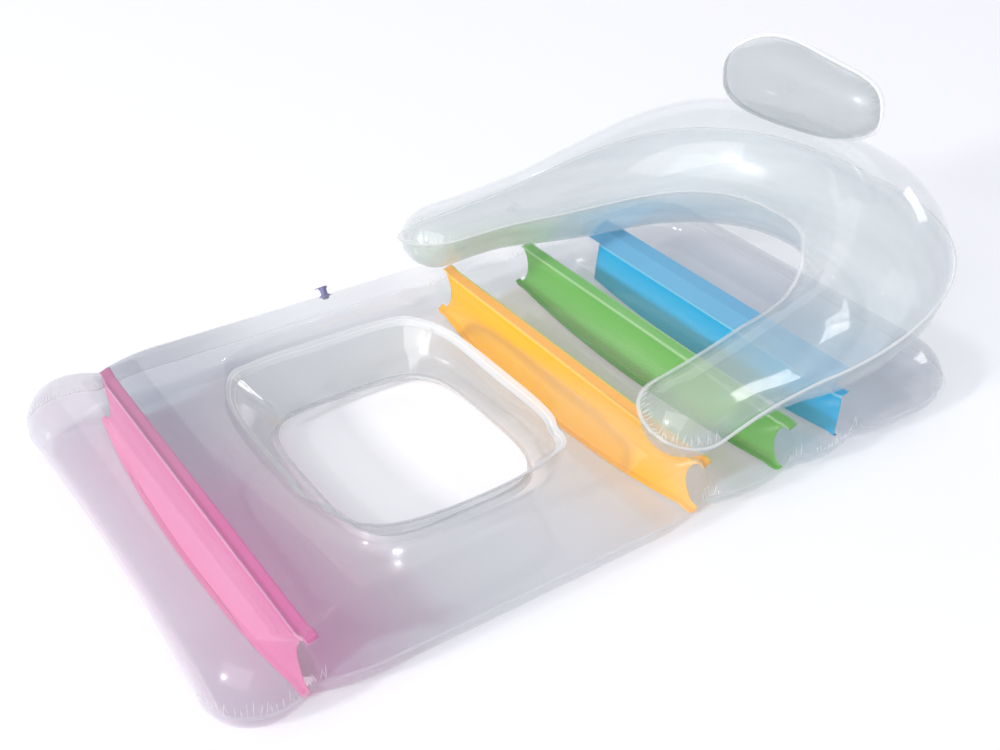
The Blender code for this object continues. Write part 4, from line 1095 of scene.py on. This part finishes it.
def backrest_sheet(title, node, side, materials):
    up = Vector((0, 0, side))
    grid, runs, spread = backrest_grid(side)
    grid = shift([grid])[0]
    mesh = grid_mesh(title, [grid])
    face_along(mesh, up)
    points = mesh_points(mesh)
    origin = nearest_in(grid.reshape(-1, 3), points)
    set_values(mesh, "tube_run", np.repeat(runs, grid.shape[1])[origin])
    set_values(mesh, "tube_across", spread.reshape(-1)[origin])
    # Painted green and blue light from the webs, low on the inner side of the arms
    inner = smooth((ARM_LIGHT_Y - np.abs(points[:, 1])) / ARM_LIGHT_REACH)
    low = smooth((ARM_LIGHT_Z - points[:, 2]) / ARM_LIGHT_REACH) * inner
    for name, web_x in (("green_light", YELLOW_X + THIGH_CELL / 2), ("blue_light", BLUE_X)):
        from_web = (points[:, 0] - OFFSET.x - web_x) / THIGH_CELL
        set_values(mesh, name, low * np.exp(-(from_web**2)))
    line = seam_loops(mesh)[0]
    pucker(mesh, [line], *BACKREST_GATHERS)
    creases = seam_creases(mesh, line, title) if side > 0 else None
    add_weld_band(mesh, up, line)
    return finish_piece(mesh, "backrest", (node,), materials), creases


def pillow_points(side):
    turn = np.linspace(0.0, 2 * pi, PILLOW_SECTORS + 1)[:, None]
    share = np.sin(pi / 2 * np.linspace(0.0, 1.0, PILLOW_RINGS + 1))[None, :]
    power = 2 / PILLOW_POWER
    y = np.sign(np.cos(turn)) * np.abs(np.cos(turn)) ** power * PILLOW_HALF_WIDTH * share
    z = np.sign(np.sin(turn)) * np.abs(np.sin(turn)) ** power * PILLOW_HALF_HEIGHT * share
    near_end = np.clip(-y / PILLOW_HALF_WIDTH, 0.0, 1.0) ** 2
    z = z * np.where(z < 0, 1.0 - PILLOW_CUT * near_end, 1.0)
    z = z + PILLOW_HUMP * np.sin(pi * y / PILLOW_HALF_WIDTH) * np.clip(z / PILLOW_HALF_HEIGHT, 0.0, 1.0)
    bend = -PILLOW_BEND * (y / PILLOW_HALF_WIDTH) ** 2
    puff = PILLOW_THICKNESS / 2 * rounded(1.0 - share**2) + 0.0 * turn
    return np.stack([bend + side * (puff + GAP / 2), y, z], axis=-1)


def pillow_sheet(name, node, side, materials, matrix):
    grid = pillow_points(side)
    turned = grid @ np.array(matrix.to_3x3()).T + np.array(matrix.translation)
    mesh = grid_mesh(name, [turned])
    up = matrix.to_3x3() @ Vector((side, 0, 0))
    face_along(mesh, up)
    line = seam_loops(mesh)[0]
    pucker(mesh, [line], *PILLOW_GATHERS)
    creases = seam_creases(mesh, line, name) if side < 0 else None
    add_weld_band(mesh, up, line)
    return finish_piece(mesh, "pillow", (node,), materials), creases


def pillow_centre():
    """The turned frame in which the pillow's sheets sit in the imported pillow's box."""
    turn = Euler(PILLOW_TURN).to_matrix()
    points = np.concatenate([pillow_points(side).reshape(-1, 3) for side in (-1, 1)]) @ np.array(turn).T
    front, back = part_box("pillow_front_sheet"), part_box("pillow_back_sheet")
    low = np.minimum(np.array(front[0]), np.array(back[0]))
    high = np.maximum(np.array(front[1]), np.array(back[1]))
    middle = (low + high - points.min(axis=0) - points.max(axis=0)) / 2
    return Matrix.Translation(Vector(middle)) @ turn.to_4x4()


def strip_from_node(name, node, body, material):
    """A flat strip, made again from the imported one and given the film's finish."""
    source = frame["nodes"][node].data
    mesh = source.copy()
    mesh.name = name
    mesh.materials.clear()
    bm = bmesh.new()
    bm.from_mesh(mesh)
    bmesh.ops.remove_doubles(bm, verts=bm.verts, dist=MERGE)
    bm.to_mesh(mesh)
    bm.free()
    obj = linked(name, mesh)
    mesh.materials.append(material)
    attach(obj, body)
    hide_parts(node)
    return obj


RING_STRIPS = [2, 3, 2, 3] + [0] * RINGS
mattress_upper, foot_creases = mattress_sheet(
    "mattress_upper_film", "mattress_top_sheet", WINDOW_X, WINDOW_TOP, top_height, 1,
    [UPPER_FILM, WELD, RING_EDGE, RING], RING_STRIPS,
)
mattress_lower, _ = mattress_sheet(
    "mattress_lower_film", "mattress_bottom_sheet", WINDOW_X + WINDOW_LOW_SHIFT, WINDOW_LOW, low_height,
    -1, [LOWER_FILM, WELD, RING], [2, 2, 2, 0] + [0] * RINGS,
)
window_wall()
web(
    "pink_web_film", "pink_web", PINK_X, WEB_HALF_LENGTH, WEB_NOTCH, PINK_LEAN, LOW_MARGIN,
    [PINK, PINK, PINK_LINE, PINK_DARK, PINK_DARK],
)
web(
    "yellow_web_film", "yellow_web", YELLOW_X, WEB_HALF_LENGTH, WEB_NOTCH, YELLOW_LEAN, LOW_MARGIN,
    [YELLOW, YELLOW, YELLOW_LINE, YELLOW_DARK, LIME],
)
web(
    "green_web_film", "green_web", GREEN_X, WEB_HALF_LENGTH, GREEN_NOTCH, GREEN_LEAN, LOW_MARGIN,
    [GREEN, GREEN_DARK, GREEN_LINE, GREEN, GREEN_LINE],
)
web(
    "blue_web_film", "blue_web", BLUE_X, BLUE_HALF_LENGTH, 0.0, BLUE_LEAN, -LOW_MARGIN,
    [CYAN, CYAN_DARK, CYAN_LINE, CYAN, CYAN_LINE], far_end=BLUE_FAR_END,
)
back_upper, arm_creases = backrest_sheet(
    "backrest_upper_film", "backrest_top_sheet", 1, [BACK_UPPER, WELD_WHITE]
)
back_lower, _ = backrest_sheet("backrest_lower_film", "backrest_bottom_sheet", -1, [BACK_LOWER, WELD])
pillow_place = pillow_centre()
pillow_front, pillow_creases = pillow_sheet(
    "pillow_front_film", "pillow_front_sheet", -1, [PILLOW_FRONT, WELD_WHITE], pillow_place
)
pillow_back, _ = pillow_sheet(
    "pillow_back_film", "pillow_back_sheet", 1, [PILLOW_BACK, WELD], pillow_place
)
crease_piece("mattress_creases", "mattress", foot_creases)
crease_piece("backrest_creases", "backrest", arm_creases)
crease_piece("pillow_creases", "pillow", pillow_creases)
strip_from_node("backrest_tie_film", "backrest_tie_strip", "backrest", CORNFLOWER)
strip_from_node("pillow_tie_film", "pillow_tie_strip", "backrest", WELD)
for name, node in frame["nodes"].items():
    if "valve" in name:
        node.data.materials.clear()
        node.data.materials.append(DUSK if name.startswith("mattress") else CLEAR_VALVE)

# Floor, lights and camera
CAMERA_AT = Vector((-1.057817, -1.380368, 1.240312))
CAMERA_RIGHT = Vector((0.819509, -0.572519, 0.025046))
CAMERA_DOWN = Vector((-0.302277, -0.468986, -0.829868))
CAMERA_AHEAD = Vector((0.486861, 0.672513, -0.557398))
LENS_MM = 45.17
SENSOR_MM = 36.0
CLIP_END = 60.0
FLOOR_LIFT = 0.12
FLOOR_SIZE = 24.0
FLOOR_DROP = 0.0008
ROOM_LIGHT = 0.35
LAMP_AWAY = 18.0
# Azimuth and elevation in degrees, width, height and share of light
LAMPS = (
    ("Key softbox at the foot", -154, 36, 20.0, 14.0, 0.33),
    ("Key lamp at the foot", -174, 25, 1.6, 1.6, 0.28),
    ("Far softbox", 66, 33, 16.0, 8.0, 0.075),
    ("Head softbox", 8, 32, 6.0, 4.0, 0.09),
    ("Bulb of the far softbox", 61, 43, 0.12, 0.12, 0.0008),
)


def floor():
    """Matt white studio floor: the camera sees it a little nearer to white than the lamps make it."""
    bpy.ops.mesh.primitive_plane_add(size=FLOOR_SIZE)
    ground = bpy.context.object
    ground.name = "floor"
    material, tree = new_material("Matt white floor")
    seen = add(tree, "ShaderNodeLightPath").outputs["Is Camera Ray"]
    matt = add(tree, "ShaderNodeBsdfDiffuse", {"Color": colour("F6F5F8")})
    lift = calc(tree, "MULTIPLY", seen, FLOOR_LIFT)
    glow = add(tree, "ShaderNodeEmission", {"Color": (1.0, 1.0, 1.0, 1.0), "Strength": lift})
    mix = add(tree, "ShaderNodeAddShader", {0: matt, 1: glow})
    add(tree, "ShaderNodeOutputMaterial", {"Surface": mix})
    ground.location.z = -FLOOR_DROP
    ground.data.materials.append(material)


def world():
    """A dim room for the lamps to rule, but white wherever the camera or a reflection sees it."""
    made = bpy.data.worlds.new("Studio")
    bpy.context.scene.world = made
    made.use_nodes = True
    tree = made.node_tree
    tree.nodes.clear()
    path = add(tree, "ShaderNodeLightPath").outputs
    direct = calc(tree, "MAXIMUM", path["Is Camera Ray"], path["Is Glossy Ray"])
    shown = calc(tree, "MAXIMUM", direct, path["Is Transmission Ray"])
    fill = add(tree, "ShaderNodeBackground", {"Color": colour("E8EEFC"), "Strength": ROOM_LIGHT})
    white = add(tree, "ShaderNodeBackground", {"Color": (1.0, 1.0, 1.0, 1.0), "Strength": 1.0})
    mix = add(tree, "ShaderNodeMixShader", {0: shown, 1: fill, 2: white})
    add(tree, "ShaderNodeOutputWorld", {"Surface": mix})


def lamp(name, turn, height, wide, tall, light):
    """A softbox at an azimuth and elevation; light is the share of white it gives the ground."""
    turn, height = radians(turn), radians(height)
    at = Vector((cos(turn) * cos(height), sin(turn) * cos(height), sin(height))) * LAMP_AWAY
    data = bpy.data.lights.new(name, "AREA")
    data.shape = "RECTANGLE"
    data.size = wide
    data.size_y = tall
    data.energy = light * pi * pi * LAMP_AWAY**2 / sin(height)
    obj = linked(name, data)
    obj.location = at
    obj.rotation_euler = (-at).to_track_quat("-Z", "Y").to_euler()


def camera():
    data = bpy.data.cameras.new("Camera")
    data.lens = LENS_MM
    data.sensor_width = SENSOR_MM
    data.clip_end = CLIP_END
    obj = linked("Camera", data)
    turn = Matrix((CAMERA_RIGHT, -CAMERA_DOWN, -CAMERA_AHEAD)).transposed().to_4x4()
    obj.matrix_world = Matrix.Translation(CAMERA_AT) @ turn
    bpy.context.scene.camera = obj


floor()
world()
for row in LAMPS:
    lamp(*row)
camera()
bpy.context.scene.cycles.transparent_max_bounces = 64
bpy.context.scene.view_settings.view_transform = "Standard"
